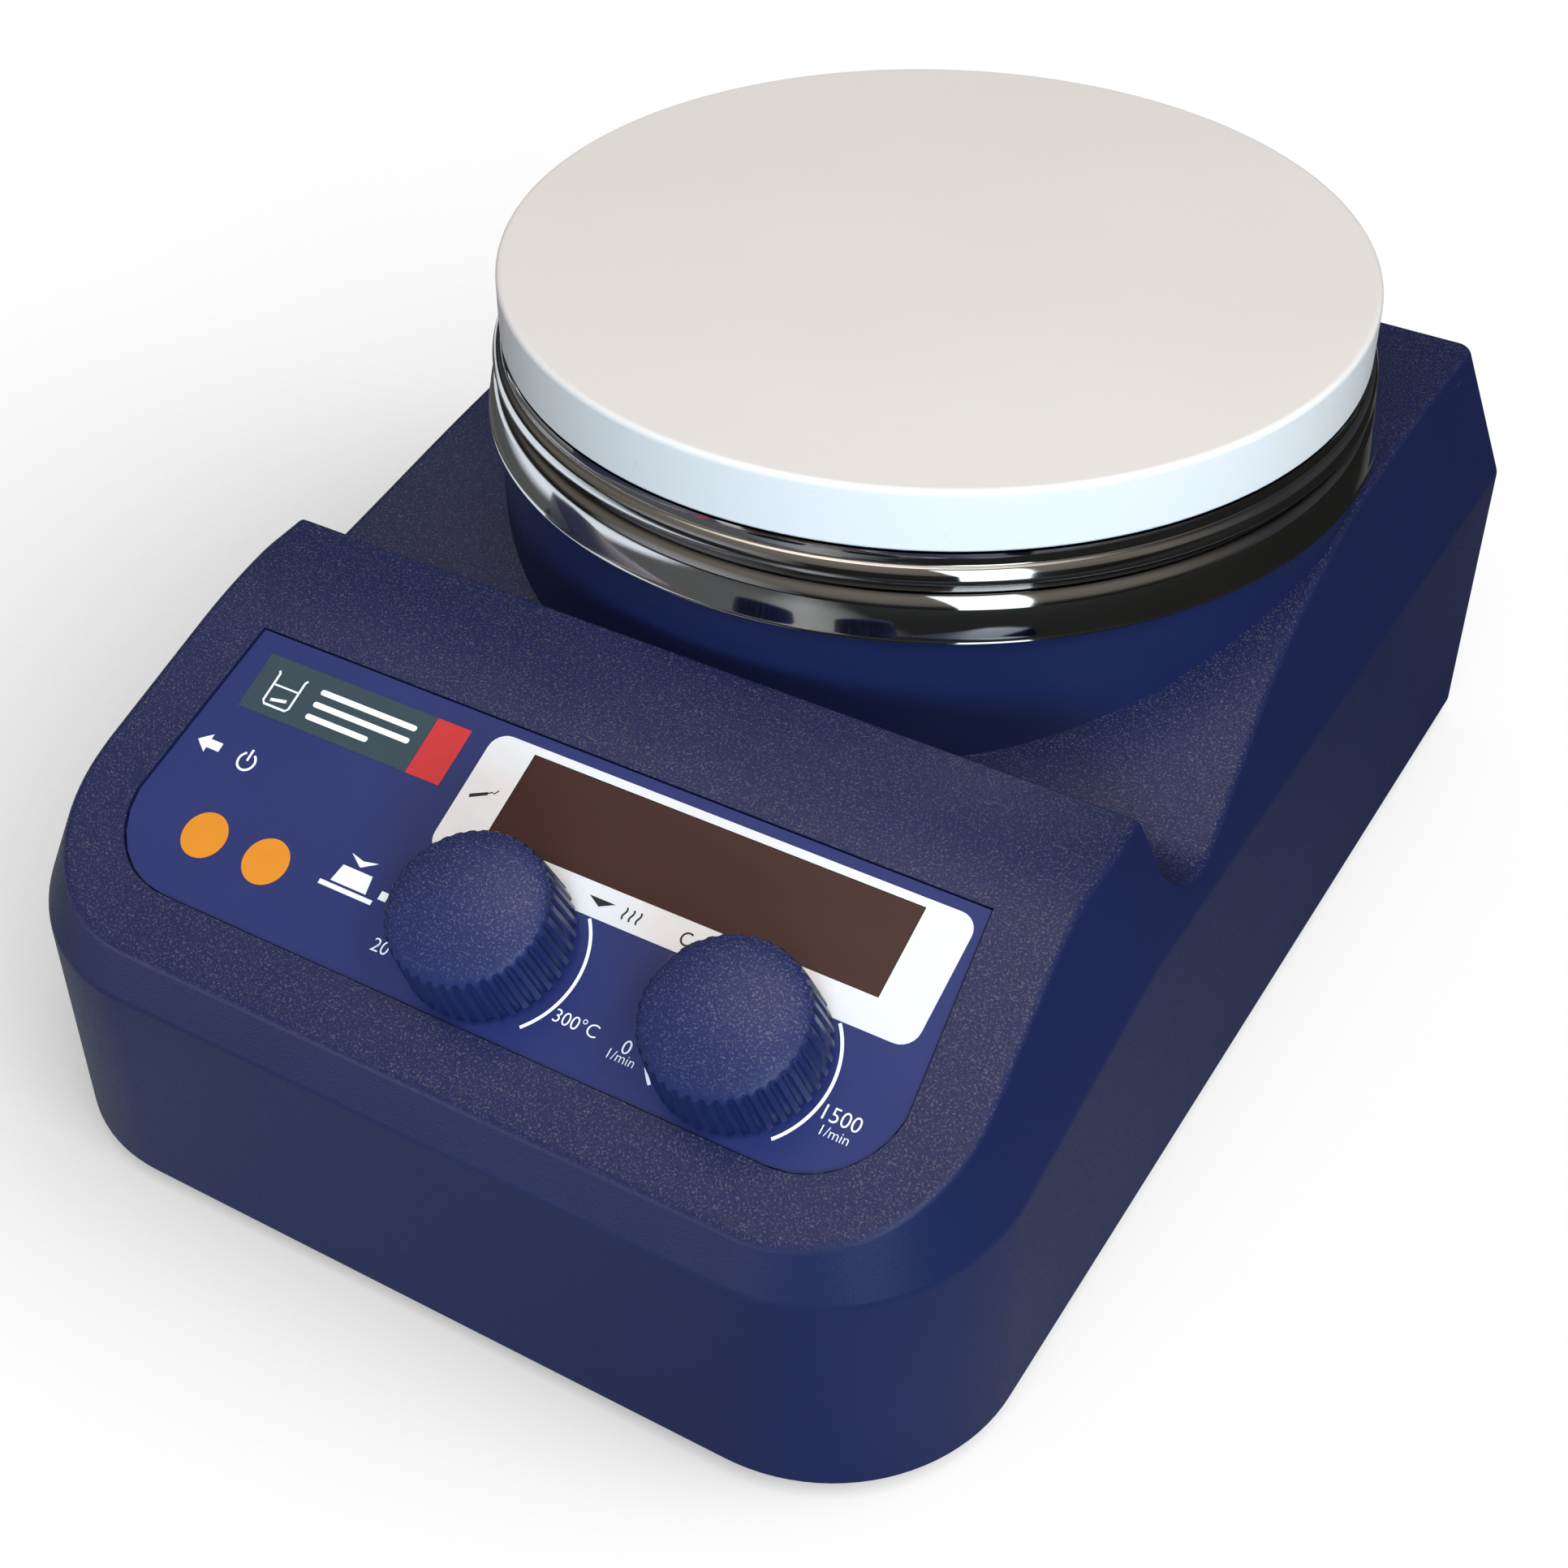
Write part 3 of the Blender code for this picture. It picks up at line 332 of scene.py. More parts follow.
def inner_profile():
    """The same way along the ceiling inside."""
    rear = REAR_Y - WALL
    return [
        (rear, 0.0701),
        (0.0410, 0.0690),
        (0.0220, 0.0654),
        (-0.0029, 0.0584),
        (-0.0220, 0.0534),
        (-0.0330, 0.0526),
        (-0.0386, 0.0560),
        (-0.0392, 0.0668),
        (-0.0500, 0.0655),
        (PANEL_START[0], PANEL_START[1] - 0.0034),
    ]


def stations(inset, profile, drop, steps):
    """(foot, lean, top, inward over the top, fillet) round the right half, rear to front."""
    half, front = HALF_WIDTH - inset, FRONT_Y + inset
    radius = CORNER_RADIUS - inset
    found = []
    if not inset:
        for step in range(7):
            angle = radians(90 - 90 * step / 6)
            out = Vector((cos(angle), sin(angle), 0))
            foot = Vector((half - REAR_RADIUS, REAR_Y - REAR_RADIUS, 0)) + out * REAR_RADIUS
            lean = Vector((-LEAN, 0, 0))
            top = foot + lean * (DECK_END[1] - crease_height(foot.y))
            top.z = DECK_END[1]
            found.append((foot, lean, top, -out, SIDE_FILLET))
    for y, z in profile:
        lean = Vector((-LEAN, 0, 0))
        foot = Vector((half, y, 0))
        top = foot + lean * (z - crease_height(y))
        top.z = z
        if inset or found[-1][0].y - y > 1e-5:
            found.append((foot, lean, top, Vector((-1, 0, 0)), SIDE_FILLET))
    for step in range(steps + 1):
        angle = radians(90 * step / steps)
        out = Vector((cos(angle), -sin(angle), 0))
        foot = Vector((half - radius, front + radius, 0)) + out * radius
        crease = crease_height(foot.y)
        rise = (panel_height(foot.y) - drop - crease) / (1 - PANEL_SLOPE * LEAN * sin(angle))
        top = foot - out * LEAN * rise
        top.z = crease + rise
        across = Vector((-out.x, -out.y, PANEL_SLOPE * sin(angle))).normalized()
        fillet = SIDE_FILLET + (FRONT_FILLET - SIDE_FILLET) * step / steps
        found.append((foot, -out * LEAN, top, across, fillet))
    return found


def column(station, bottom, smooth):
    """Points up the wall and over the edge at one station."""
    foot, lean, top, across, fillet = station
    crease = crease_height(foot.y)
    up = (lean + Vector((0, 0, 1))).normalized()
    corner = Vector((foot.x, foot.y, crease))
    if not smooth:
        return [Vector((foot.x, foot.y, bottom)), corner, top]
    outward = Vector((-across.x, -across.y, 0)).normalized()
    base = Vector((foot.x, foot.y, bottom))
    points = rounded(base - outward * FOOT_FILLET, base, base + Vector((0, 0, FOOT_FILLET)), 3)
    points += rounded(corner - Vector((0, 0, CREASE_FILLET)), corner, corner + up * CREASE_FILLET, 4)
    points += rounded(top - up * fillet, top, top + across * fillet, 7)
    return points


def housing_form(inset, profile, drop, bottom, smooth):
    """A closed form from matching stations on the left and the right; smooth forms get fillets."""
    bm = bmesh.new()
    sides = []
    for sign in (1, -1):
        side = []
        for station in stations(inset, profile, drop, 24 if smooth else 8):
            points = column(station, bottom, smooth)
            side.append([bm.verts.new((sign * point.x, point.y, point.z)) for point in points])
        sides.append(side)
    right, left = sides
    loops = list(zip(right, right[1:])) + list(zip(left, left[1:]))
    loops += [(right[0], left[0]), (right[-1], left[-1])]
    for near, far in loops:
        for low in range(len(near) - 1):
            bm.faces.new((near[low], near[low + 1], far[low + 1], far[low]))
    for index in range(len(right) - 1):
        bm.faces.new((right[index][-1], left[index][-1], left[index + 1][-1], right[index + 1][-1]))
    bm.faces.new([points[0] for points in right] + [points[0] for points in reversed(left)])
    bmesh.ops.recalc_face_normals(bm, faces=bm.faces)
    return bm


def drum_profile():
    """The drum from its rounded underside to its lip."""
    low, high = DRUM_UNDERCUT
    foot, lean = (DRUM_RADIUS - 0.0066, low), (DRUM_RADIUS - 0.0022, low + 0.007)
    side = (DRUM_RADIUS, high)
    under = bezier(foot, lean, (DRUM_RADIUS, high - 0.006), side, 8)
    edge = Vector((DRUM_RADIUS, DRUM_TOP))
    lip = rounded(edge - Vector((0, 0.0010)), edge, edge - Vector((0.0010, 0)), 4)
    return [(0, low)] + under + [side] + [tuple(point) for point in lip] + [(0, DRUM_TOP)]


def label_outline(margin, steps):
    """The label film's outline, square at the top and round at the bottom, grown by the margin."""
    top, bottom = LABEL_TOP + margin, LABEL_BOTTOM - margin
    upper, lower = LABEL_HALF_TOP + margin, LABEL_HALF_BOTTOM + margin
    radius = LABEL_RADIUS + margin
    points = [(-upper, top)]
    points += arc((-lower + radius, bottom + radius), radius, 184, 270, steps)
    points += arc((lower - radius, bottom + radius), radius, 270, 356, steps)
    return points + [(upper, top)]


def rectangle(left, low, right, high, radius=0.0, steps=6):
    """An upright rectangle, with round corners if it has a radius."""
    if not radius:
        return [(left, low), (right, low), (right, high), (left, high)]
    corners = ((right, low, 270), (right, high, 0), (left, high, 90), (left, low, 180))
    points = []
    for x, y, start in corners:
        inward_x = -radius if x == right else radius
        inward_y = radius if y == low else -radius
        points += arc((x + inward_x, y + inward_y), radius, start, start + 90, steps)
    return points


def add_bosses(shell):
    """Screw posts under the ceiling and a pad behind the power switch."""
    bosses = bmesh.new()
    for x, y in BOSS_POINTS:
        roof = panel_height(y) if y < PANEL_START[0] else DECK_END[1]
        add_rod(bosses, 0.0040, BASE_FLOOR + 0.0004, roof - 0.0022, (x, y))
    switch_low, switch_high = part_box("switch_body")
    add_box(
        bosses,
        (-HALF_WIDTH + WALL - 0.0005, switch_low.y - 0.0035, switch_low.z - 0.0030),
        (-HALF_WIDTH + WALL + 0.0038, switch_high.y + 0.0035, switch_high.z + 0.0030),
    )
    combine(shell, bosses, "UNION")


def cut_console(shell):
    """The label's pocket, the display opening and the two knob holes."""
    pocket = add_prism(bmesh.new(), label_outline(0.0002, 20), -0.0012, 0.004)
    pocket.transform(PANEL)
    combine(shell, pocket, "DIFFERENCE")
    openings = add_prism(bmesh.new(), rectangle(*WINDOW), -0.008, 0.006)
    for x in KNOB_X.values():
        add_rod(openings, 0.0039, -0.008, 0.006, (x, KNOB_Y))
    openings.transform(PANEL)
    combine(shell, openings, "DIFFERENCE")


def cut_holes(shell):
    """Screw, shaft and cable holes, and the openings in the rear wall."""
    holes = bmesh.new()
    for x, y in BOSS_POINTS:
        add_rod(holes, 0.0018, 0.001, 0.018, (x, y), steps=20)
    add_rod(holes, 0.0060, 0.073, 0.080, (0, AXIS_Y))
    for radius, spots in ((0.0018, STANDOFFS), (0.0016, BRACKET_SCREWS), (0.0032, (CABLE_HOLE,))):
        for point in polar(spots):
            add_rod(holes, radius, 0.073, 0.080, point, steps=20)
    front, back, flange = REAR_Y - 0.006, REAR_Y + 0.002, 0.0016
    low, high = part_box("mains_inlet")
    add_box(holes, (low.x + flange, front, low.z + flange), (high.x - flange, back, high.z - flange))
    low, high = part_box("probe_socket")
    centre = (low + high) / 2
    add_rod(holes, 0.0074, front, back, (centre.x, centre.z), along="Y")
    combine(shell, holes, "DIFFERENCE")


def cut_switch(shell):
    """A shallow seat for the switch's flange and a smaller hole for its body."""
    switch_low, switch_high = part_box("switch_body")
    for margin, inner in ((0.0004, 0.0031), (-0.0008, 0.0120)):
        cutter = add_box(
            bmesh.new(),
            (-HALF_WIDTH - 0.002, switch_low.y - margin, switch_low.z - margin),
            (-HALF_WIDTH + inner, switch_high.y + margin, switch_high.z + margin),
        )
        combine(shell, cutter, "DIFFERENCE")


def build_housing():
    """Console, deck and drum in one moulding."""
    shell = new_object("housing_shell", housing_form(0, outer_profile(), 0, SHELL_BOTTOM, True))
    combine(shell, turned(drum_profile(), centre=(0, AXIS_Y)), "UNION")
    combine(shell, housing_form(WALL, inner_profile(), 0.0034, SHELL_BOTTOM - 0.002, False), "DIFFERENCE")
    radius, ceiling = DRUM_RADIUS - WALL, DRUM_TOP - WALL
    bore = add_rod(bmesh.new(), radius, DRUM_UNDERCUT[1], ceiling, (0, AXIS_Y), steps=90)
    combine(shell, bore, "DIFFERENCE")
    add_bosses(shell)
    cut_console(shell)
    cut_holes(shell)
    cut_switch(shell)
    reshade(shell, 26.0)
    return shell


# ---------------------------------------------------------------- plate, shield and knobs


def build_plate():
    """The coated plate, a shallow cup upside down."""
    corner = Vector((PLATE_RADIUS, PLATE_TOP))
    rim = rounded(corner - Vector((0.0010, 0)), corner, corner - Vector((0, 0.0010)), 6)
    foot = Vector((PLATE_RADIUS, PLATE_LOW))
    base = rounded(foot + Vector((0, 0.0005)), foot, foot - Vector((0.0005, 0)), 3)
    inside = PLATE_RADIUS - PLATE_RIM
    profile = [(0, PLATE_TOP), (PLATE_RADIUS * 0.5, PLATE_TOP)] + [tuple(point) for point in rim + base]
    profile += [(inside, PLATE_LOW), (inside, PLATE_TOP - PLATE_SKIN), (0, PLATE_TOP - PLATE_SKIN)]
    plate = new_object("plate_disc", turned(profile, centre=(0, AXIS_Y)), 40.0)
    reshade(plate, 40.0)
    return plate


def build_shield():
    """The spun dish: a plain band, a round shoulder, a groove and a rolled ridge."""
    low, edge = SHIELD_LOW, SHIELD_RADIUS
    band = [(edge - 0.0006, low), (edge - 0.0001, low + 0.0001)]
    band += arc((edge - 0.0336, low - 0.0036), 0.0336, 7, 15, 8)
    shoulder = arc((band[-1][0] - 0.00328, band[-1][1] - 0.00088), 0.0034, 15, 58, 12)
    roll = [
        shoulder[-1],
        (edge - 0.0029, low + 0.0077),
        (edge - 0.0030, low + 0.0081),
        (edge - 0.0026, low + 0.0084),
        (edge - 0.0018, low + 0.0086),
        (edge - 0.0014, low + 0.0089),
        (edge - 0.0014, low + 0.0093),
        (edge - 0.0016, low + 0.0100),
        (edge - 0.0018, low + 0.0105),
        (edge - 0.0022, low + 0.0110),
        (edge - 0.0027, low + 0.0113),
        (edge - 0.0028, low + 0.0117),
        (edge - 0.0029, low + 0.0124),
        (edge - 0.0029, low + 0.0131),
    ]
    inside = [
        (edge - 0.0036, low + 0.0129),
        (edge - 0.0036, low + 0.0078),
        (edge - 0.0022, low + 0.0052),
        (edge - 0.0012, low + 0.0040),
        (edge - 0.0012, low + 0.0008),
        (0.0360, low + 0.0008),
    ]
    profile = [(0.0360, low)] + band + shoulder[:-1] + through(roll, 5) + inside
    shield = new_object("shield_dish", turned(profile, centre=(0, AXIS_Y)), 60.0)
    holes = bmesh.new()
    for radius, spots in ((0.0018, STANDOFFS), (0.0032, (CABLE_HOLE,))):
        for point in polar(spots):
            add_rod(holes, radius, low - 0.002, low + 0.003, point, steps=20)
    combine(shield, holes, "DIFFERENCE")
    reshade(shield, 50.0)
    return shield


def groove(turn):
    """How deep the gap between ribs is at this angle, from 0 on a rib to 1 in a gap."""
    share = min(1.0, max(0.0, (cos(turn * KNOB_RIBS) + 0.35) / 1.05))
    return share * share * (3 - 2 * share)


def build_knob(name, side):
    """A ribbed cap with a scalloped crest and a shallow dome, hollow underneath."""
    # radius, height and how deep the ribs are cut, from the foot to the dome
    rows = [
        (0.0104, 0.0009, 0.0),
        (0.0117, 0.0009, 0.35),
        (0.0121, 0.0012, 1.0),
        (0.0119, 0.0040, 1.0),
        (0.0117, 0.0070, 1.0),
        (0.0115, 0.0092, 1.0),
        (0.01147, 0.0096, 0.96),
        (0.01143, 0.0099, 0.84),
        (0.01136, 0.0102, 0.62),
        (0.01124, 0.01045, 0.36),
        (0.01106, 0.01068, 0.16),
        (0.0108, 0.01088, 0.05),
        (0.0103, 0.01108, 0.0),
        (0.0096, 0.01135, 0.0),
        (0.0084, 0.01165, 0.0),
        (0.0066, 0.0120, 0.0),
        (0.0045, 0.01228, 0.0),
        (0.0022, 0.01244, 0.0),
    ]
    under = [(0.0098, 0.0088), (0.0050, 0.0088), (0.0050, 0.0036)]
    under += [(0.0034, 0.0036), (0.0034, 0.0098), (0, 0.0098)]
    count = KNOB_RIBS * STEPS_PER_RIB
    bm = bmesh.new()
    rings = []
    for radius, height, relief in rows:
        ring = []
        for step in range(count):
            turn = 2 * pi * step / count
            reach = radius - RIB_DEPTH * relief * groove(turn)
            ring.append(bm.verts.new((reach * cos(turn), reach * sin(turn), height)))
        rings.append(ring)
    rings.append(add_ring(bm, 0, 0.0125, count))
    for radius, height in under:
        rings.insert(0, add_ring(bm, radius, height, count))
    for low, high in zip(rings, rings[1:]):
        bridge(bm, low, high)
    bm.transform(PANEL @ Matrix.Translation((KNOB_X[side], KNOB_Y, 0)))
    return new_object(name, bm, 50.0)


# ---------------------------------------------------------------- console print


def add_stroke(bm, points, width):
    """A flat line of even width through the points."""
    sides = [[], []]
    for index, point in enumerate(points):
        before = Vector(points[max(index - 1, 0)])
        after = Vector(points[min(index + 1, len(points) - 1)])
        along = (after - before).normalized()
        normal = Vector((-along.y, along.x)) * width / 2
        sides[0].append(tuple(Vector(point) + normal))
        sides[1].append(tuple(Vector(point) - normal))
    return add_prism(bm, sides[0] + sides[1][::-1], *INK)


def add_text(bm, words, centre, height):
    """Numbers and units, as thin solid letters centred on a point."""
    curve = bpy.data.curves.new("digits", "FONT")
    curve.body = words
    curve.size = height / DIGIT_SHARE
    curve.align_x = "CENTER"
    curve.extrude = (INK[1] - INK[0]) / 2
    curve.resolution_u = 4
    curve.offset = -DIGIT_THINNING
    letters = bpy.data.objects.new("digits", curve)
    bpy.context.scene.collection.objects.link(letters)
    graph = bpy.context.evaluated_depsgraph_get()
    mesh = bpy.data.meshes.new_from_object(letters.evaluated_get(graph))
    lift = (INK[0] + INK[1]) / 2
    mesh.transform(Matrix.Translation((centre[0], centre[1] - height / 2, lift)))
    bm.from_mesh(mesh)
    bpy.data.objects.remove(letters, do_unlink=True)


def print_piece(name, bm, material):
    """Lays flat print on the console."""
    bm.transform(PANEL)
    piece = new_object(name, bm, 30.0)
    return place(piece, "chassis", material)


def mm(*values):
    """Millimetres as metres."""
    return tuple(value / 1000 for value in values)


def outline_mm(*points):
    return [mm(*point) for point in points]


def print_dials(ink):
    """A line round each dial, broken where the display frame crosses it, with numbers at its ends."""
    for side in KNOB_X:
        for start, end in ((-45, 40), (140, 225)):
            add_stroke(ink, arc((DIAL_X[side], KNOB_Y), DIAL_RADIUS, start, end, 30), 0.00046)
    add_text(ink, "300°C", mm(16.5, -33.2), 0.0019)
    add_text(ink, "20", mm(-14.5, -34.3), 0.0020)
    add_text(ink, "0", mm(24.5, -33.4), 0.0020)
    add_text(ink, "1/min", mm(24.4, -35.0), 0.0014)
    add_text(ink, "1500", mm(54.6, -30.7), 0.0021)
    add_text(ink, "1/min", mm(54.8, -33.0), 0.0014)


def print_power_sign(ink):
    """An arrow towards the power switch, and the usual power sign beside it."""
    head = outline_mm((-56.6, -18.7), (-58.6, -17.2), (-56.6, -15.7))
    tail = outline_mm((-56.6, -16.5), (-54.4, -16.5), (-54.4, -17.9), (-56.6, -17.9))
    add_prism(ink, head + tail, *INK)
    add_stroke(ink, arc(mm(-49.4, -17.6), 0.0014, 120, 420, 24), 0.00035)
    add_stroke(ink, outline_mm((-49.4, -15.6), (-49.4, -17.5)), 0.00035)


def print_push_sign(ink):
    """An arrow head over a key on its base, and a small square."""
    shapes = (
        outline_mm((-26.2, -23.9), (-23.9, -25.4), (-21.6, -23.9), (-23.9, -24.4)),
        outline_mm((-26.4, -25.9), (-21.4, -25.9), (-20.9, -28.6), (-26.9, -28.6)),
        rectangle(*mm(-28.4, -29.7, -19.4, -29.0)),
        rectangle(*mm(-18.9, -28.5, -17.6, -27.2)),
    )
    for shape in shapes:
        add_prism(ink, shape, *INK)


def print_badge_sign(ink):
    """A beaker with a stirring bar, and three plain bars."""
    left = outline_mm((-53.2, -3.0), (-52.9, -3.4), (-52.9, -8.0), (-52.5, -8.5))
    right = outline_mm((-48.7, -8.5), (-48.3, -8.0), (-48.3, -3.4), (-48.0, -3.0))
    add_stroke(ink, left + right, 0.00035)
    add_stroke(ink, outline_mm((-51.9, -7.6), (-49.3, -7.1)), 0.0005)
    add_stroke(ink, outline_mm((-52.9, -5.2), (-48.3, -5.2)), 0.00028)
    for number, length in enumerate((17.0, 17.0, 11.0)):
        y = -3.7 - 2.1 * number
        add_prism(ink, outline_mm(*rectangle(-45.2, y - 0.45, -45.2 + length, y + 0.45, 0.4)), *INK)


def print_display_frame(silver):
    """The silver frame, which laps a little over the window's edge."""
    outline = rectangle(*mm(-16.8, -19.2, 58.7, 0.5), 0.0027)
    surround = new_object("print_frame", add_prism(bmesh.new(), outline, *INK))
    left, low, right, high = WINDOW
    lap = 0.0004
    opening = rectangle(left + lap, low + lap, right - lap, high - lap)
    combine(surround, add_prism(bmesh.new(), opening, -0.002, 0.002), "DIFFERENCE")
    surround.data.transform(PANEL)
    reshade(surround, 30.0)
    place(surround, "chassis", silver)


def print_blocks(slate, red, orange):
    """The plain badge with its red end, and two discs."""
    layer = (INK[0] - 0.00001, INK[0] + 0.00003)
    badge = add_prism(bmesh.new(), rectangle(*mm(-56.1, -10.2, -26.2, -0.9)), *layer)
    print_piece("print_badge", badge, slate)
    block = add_prism(bmesh.new(), rectangle(*mm(-26.1, -10.2, -20.3, -0.9)), *layer)
    print_piece("print_block", block, red)
    discs = bmesh.new()
    for x in (-0.0484, -0.0374):
        add_prism(discs, arc((x, -0.0299), 0.0036, 0, 360, 40)[:-1], *INK)
    print_piece("print_dots", discs, orange)


def print_frame_signs(black):
    """Black signs on the frame: a probe, and heat and stirring beside a pointer."""
    layer = (INK[1] + 0.00001, INK[1] + 0.00005)
    signs = bmesh.new()
    add_stroke(signs, outline_mm((-12.8, -8.6), (-12.3, -8.2), (-11.9, -8.3), (-11.5, -7.6)), 0.00016)
    for x in (14.6, 15.7, 16.8):
        wave = [(x + 0.16 * sin(step * 1.05), -16.1 - 0.3 * step) for step in range(7)]
        add_stroke(signs, outline_mm(*wave), 0.00025)
    add_stroke(signs, arc(mm(24.4, -17.0), 0.0009, 60, 350, 24), 0.00025)
    bmesh.ops.translate(signs, verts=signs.verts, vec=(0, 0, layer[0] - INK[0]))
    add_prism(signs, outline_mm((8.7, -16.4), (10.7, -17.5), (12.8, -16.4)), *layer)
    add_prism(signs, outline_mm((-15.3, -9.6), (-12.9, -8.4), (-12.7, -8.8), (-15.1, -10.1)), *layer)
    print_piece("print_black", signs, black)


def build_print(white):
    """All the console's print, on the label film."""
    ink = bmesh.new()
    print_dials(ink)
    print_power_sign(ink)
    print_push_sign(ink)
    print_badge_sign(ink)
    print_piece("print_white", ink, white)
    print_display_frame(printed("ink_silver", (0.78, 0.78, 0.80), 0.36, 0.25))
    slate = printed("ink_slate", (0.030, 0.052, 0.066), 0.45)
    red = printed("ink_red", (0.49, 0.030, 0.032), 0.42)
    print_blocks(slate, red, printed("ink_orange", (0.66, 0.225, 0.016), 0.42))
    print_frame_signs(printed("ink_black", (0.012, 0.012, 0.013), 0.42))


def add_band(bm, outer, inner, steps):
    """A flat ring round the origin, between two radii."""
    loops = []
    for radius, height in ((outer, 0), (inner, 0), (inner, MARK_DEPTH), (outer, MARK_DEPTH)):
        loops.append([bm.verts.new((x, y, height)) for x, y in arc((0, 0), radius, 0, 360, steps)[:-1]])
    for low, high in zip(loops, loops[1:] + loops[:1]):
        bridge(bm, low, high)


def build_rocker_marks(material):
    """The usual ring and line on the two ends of the power rocker, which rests with one end down."""
    marks = bmesh.new()
    for end in (1, -1):
        start = len(marks.verts)
        if end > 0:
            add_band(marks, 0.0013, 0.0010, 28)
        else:
            add_prism(marks, rectangle(-0.00015, -0.0014, 0.00015, 0.0014), 0, MARK_DEPTH)
        marks.verts.ensure_lookup_table()
        along = Matrix.Rotation(atan2(0.0012, 0.0087) * end, 4, "Z")
        turn = Matrix.Translation((-0.00132, end * 0.0045, 0)) @ along @ Matrix.Rotation(-pi / 2, 4, "Y")
        bmesh.ops.transform(marks, matrix=turn, verts=marks.verts[start:])
    pivot = Matrix.Translation(JOINTS["rocker_tilt"]["pos_m"])
    marks.transform(pivot @ Matrix.Rotation(radians(ROCKER_REST), 4, "Z"))
    return place(new_object("rocker_marks", marks), "rocker", material)


# ---------------------------------------------------------------- materials


class Nodes:
    """A node tree whose nodes are added one at a time."""

    def __init__(self, tree):
        self.tree = tree

    def add(self, kind, inputs=None, **settings):
        node = self.tree.nodes.new(kind)
        for name, value in settings.items():
            setattr(node, name, value)
        for key, value in (inputs or {}).items():
            self.put(node.inputs[key], value)
        return node

    def put(self, socket, value):
        if isinstance(value, bpy.types.NodeSocket):
            self.tree.links.new(value, socket)
        elif isinstance(value, tuple) and len(value) == 3 and socket.type == "RGBA":
            socket.default_value = (*value, 1.0)
        else:
            socket.default_value = value

    def span(self, value, low, high, start=0.3, end=0.7, kind="LINEAR"):
        """Maps start..end onto low..high."""
        inputs = {"Value": value, "From Min": start, "From Max": end, "To Min": low, "To Max": high}
        return self.add("ShaderNodeMapRange", inputs, interpolation_type=kind).outputs["Result"]

    def blend(self, share, one, two):
        """A colour a share of the way from one to two."""
        node = self.add("ShaderNodeMix", data_type="RGBA")
        for socket, value in ((node.inputs["Factor"], share), (node.inputs[6], one), (node.inputs[7], two)):
            self.put(socket, value)
        return node.outputs[2]

    def along(self, vector, direction):
        """How far a vector reaches along a direction."""
        both = {0: vector, 1: direction}
        return self.add("ShaderNodeVectorMath", both, operation="DOT_PRODUCT").outputs["Value"]

    def times(self, one, two):
        return self.add("ShaderNodeMath", {0: one, 1: two}, operation="MULTIPLY").outputs[0]

    def choose(self, share, no, yes):
        """One shader or the other."""
        return self.add("ShaderNodeMixShader", {0: share, 1: no, 2: yes}).outputs[0]


class Recipe(Nodes):
    """A material round a Principled shader."""

    def __init__(self, name):
        self.material = bpy.data.materials.new(name)
        self.material.use_nodes = True
        super().__init__(self.material.node_tree)
        self.shader = self.tree.nodes["Principled BSDF"]
        self.position = self.add("ShaderNodeTexCoord").outputs["Object"]

    def set(self, **inputs):
        """Fills the shader's inputs, named in small letters."""
        for name, value in inputs.items():
            self.put(self.shader.inputs[name.replace("_", " ").title().replace("Ior", "IOR")], value)

    def noise(self, size, detail=3.0, roughness=0.55, stretch=None, distortion=0.0):
        """Noise whose features are about `size` metres across."""
        where = self.position
        if stretch:
            where = self.add("ShaderNodeMapping", {"Vector": where, "Scale": stretch}).outputs[0]
        inputs = {"Vector": where, "Scale": 1 / size, "Detail": detail}
        inputs.update({"Roughness": roughness, "Distortion": distortion})
        return self.add("ShaderNodeTexNoise", inputs).outputs["Fac"]

    def bump(self, height, distance):
        inputs = {"Height": height, "Distance": distance, "Strength": 1.0}
        return self.add("ShaderNodeBump", inputs).outputs["Normal"]


def moulded(name, dark, light, roughness, grain, depth, speck_and_glint=None):
    """Spark-eroded plastic: soft mottling, fine pits, and painted glints, pale specks on the grain where it faces
    up that stand in for highlights.
    """
    make = Recipe(name)
    cloud = make.noise(0.030, 2.0)
    pits = make.noise(grain, 2.0, 0.6)
    tone = make.blend(make.span(cloud, 0.0, 1.0), dark, light)
    # Painted glints: pale specks only on upward faces, standing in for highlights off the grain.
    if speck_and_glint:
        facing = make.add("ShaderNodeSeparateXYZ", {0: make.add("ShaderNodeNewGeometry").outputs["Normal"]})
        glint_facing_up = make.span(facing.outputs["Z"], 0.0, 1.0, 0.55, 0.88)
        glint_dots = make.span(pits, 0.0, 1.0, 0.545, 0.67)
        tone = make.blend(make.times(glint_facing_up, glint_dots), tone, speck_and_glint)
    rough = make.span(pits, roughness + 0.08, roughness - 0.08)
    make.set(base_color=tone, roughness=rough, normal=make.bump(pits, depth))
    return make.material


def housing_navy():
    return moulded(
        "housing_navy",
        dark=(0.0080, 0.0125, 0.053),
        light=(0.0093, 0.0142, 0.059),
        roughness=0.38,
        grain=0.00030,
        depth=0.000040,
        # pale colour of the painted glints on upward faces
        speck_and_glint=(0.072, 0.065, 0.094),
    )


def knob_blue():
    return moulded(
        "knob_blue",
        dark=(0.0120, 0.0182, 0.077),
        light=(0.0137, 0.0205, 0.086),
        roughness=0.34,
        grain=0.00030,
        depth=0.000040,
        # pale colour of the painted glints on upward faces
        speck_and_glint=(0.086, 0.079, 0.135),
    )


def printed(name, colour, roughness, metallic=0.0):
    """Screen-printed ink with faint unevenness."""
    make = Recipe(name)
    patch = make.noise(0.004, 3.0)
    fine = make.noise(0.00025, 2.0)
    shade = tuple(channel * 0.95 for channel in colour)
    tone = make.blend(make.span(patch, 0.0, 1.0), shade, colour)
    rough = make.span(fine, roughness - 0.05, roughness + 0.06)
    make.set(base_color=tone, metallic=metallic, roughness=rough)
    make.set(normal=make.bump(fine, 0.000004))
    return make.material


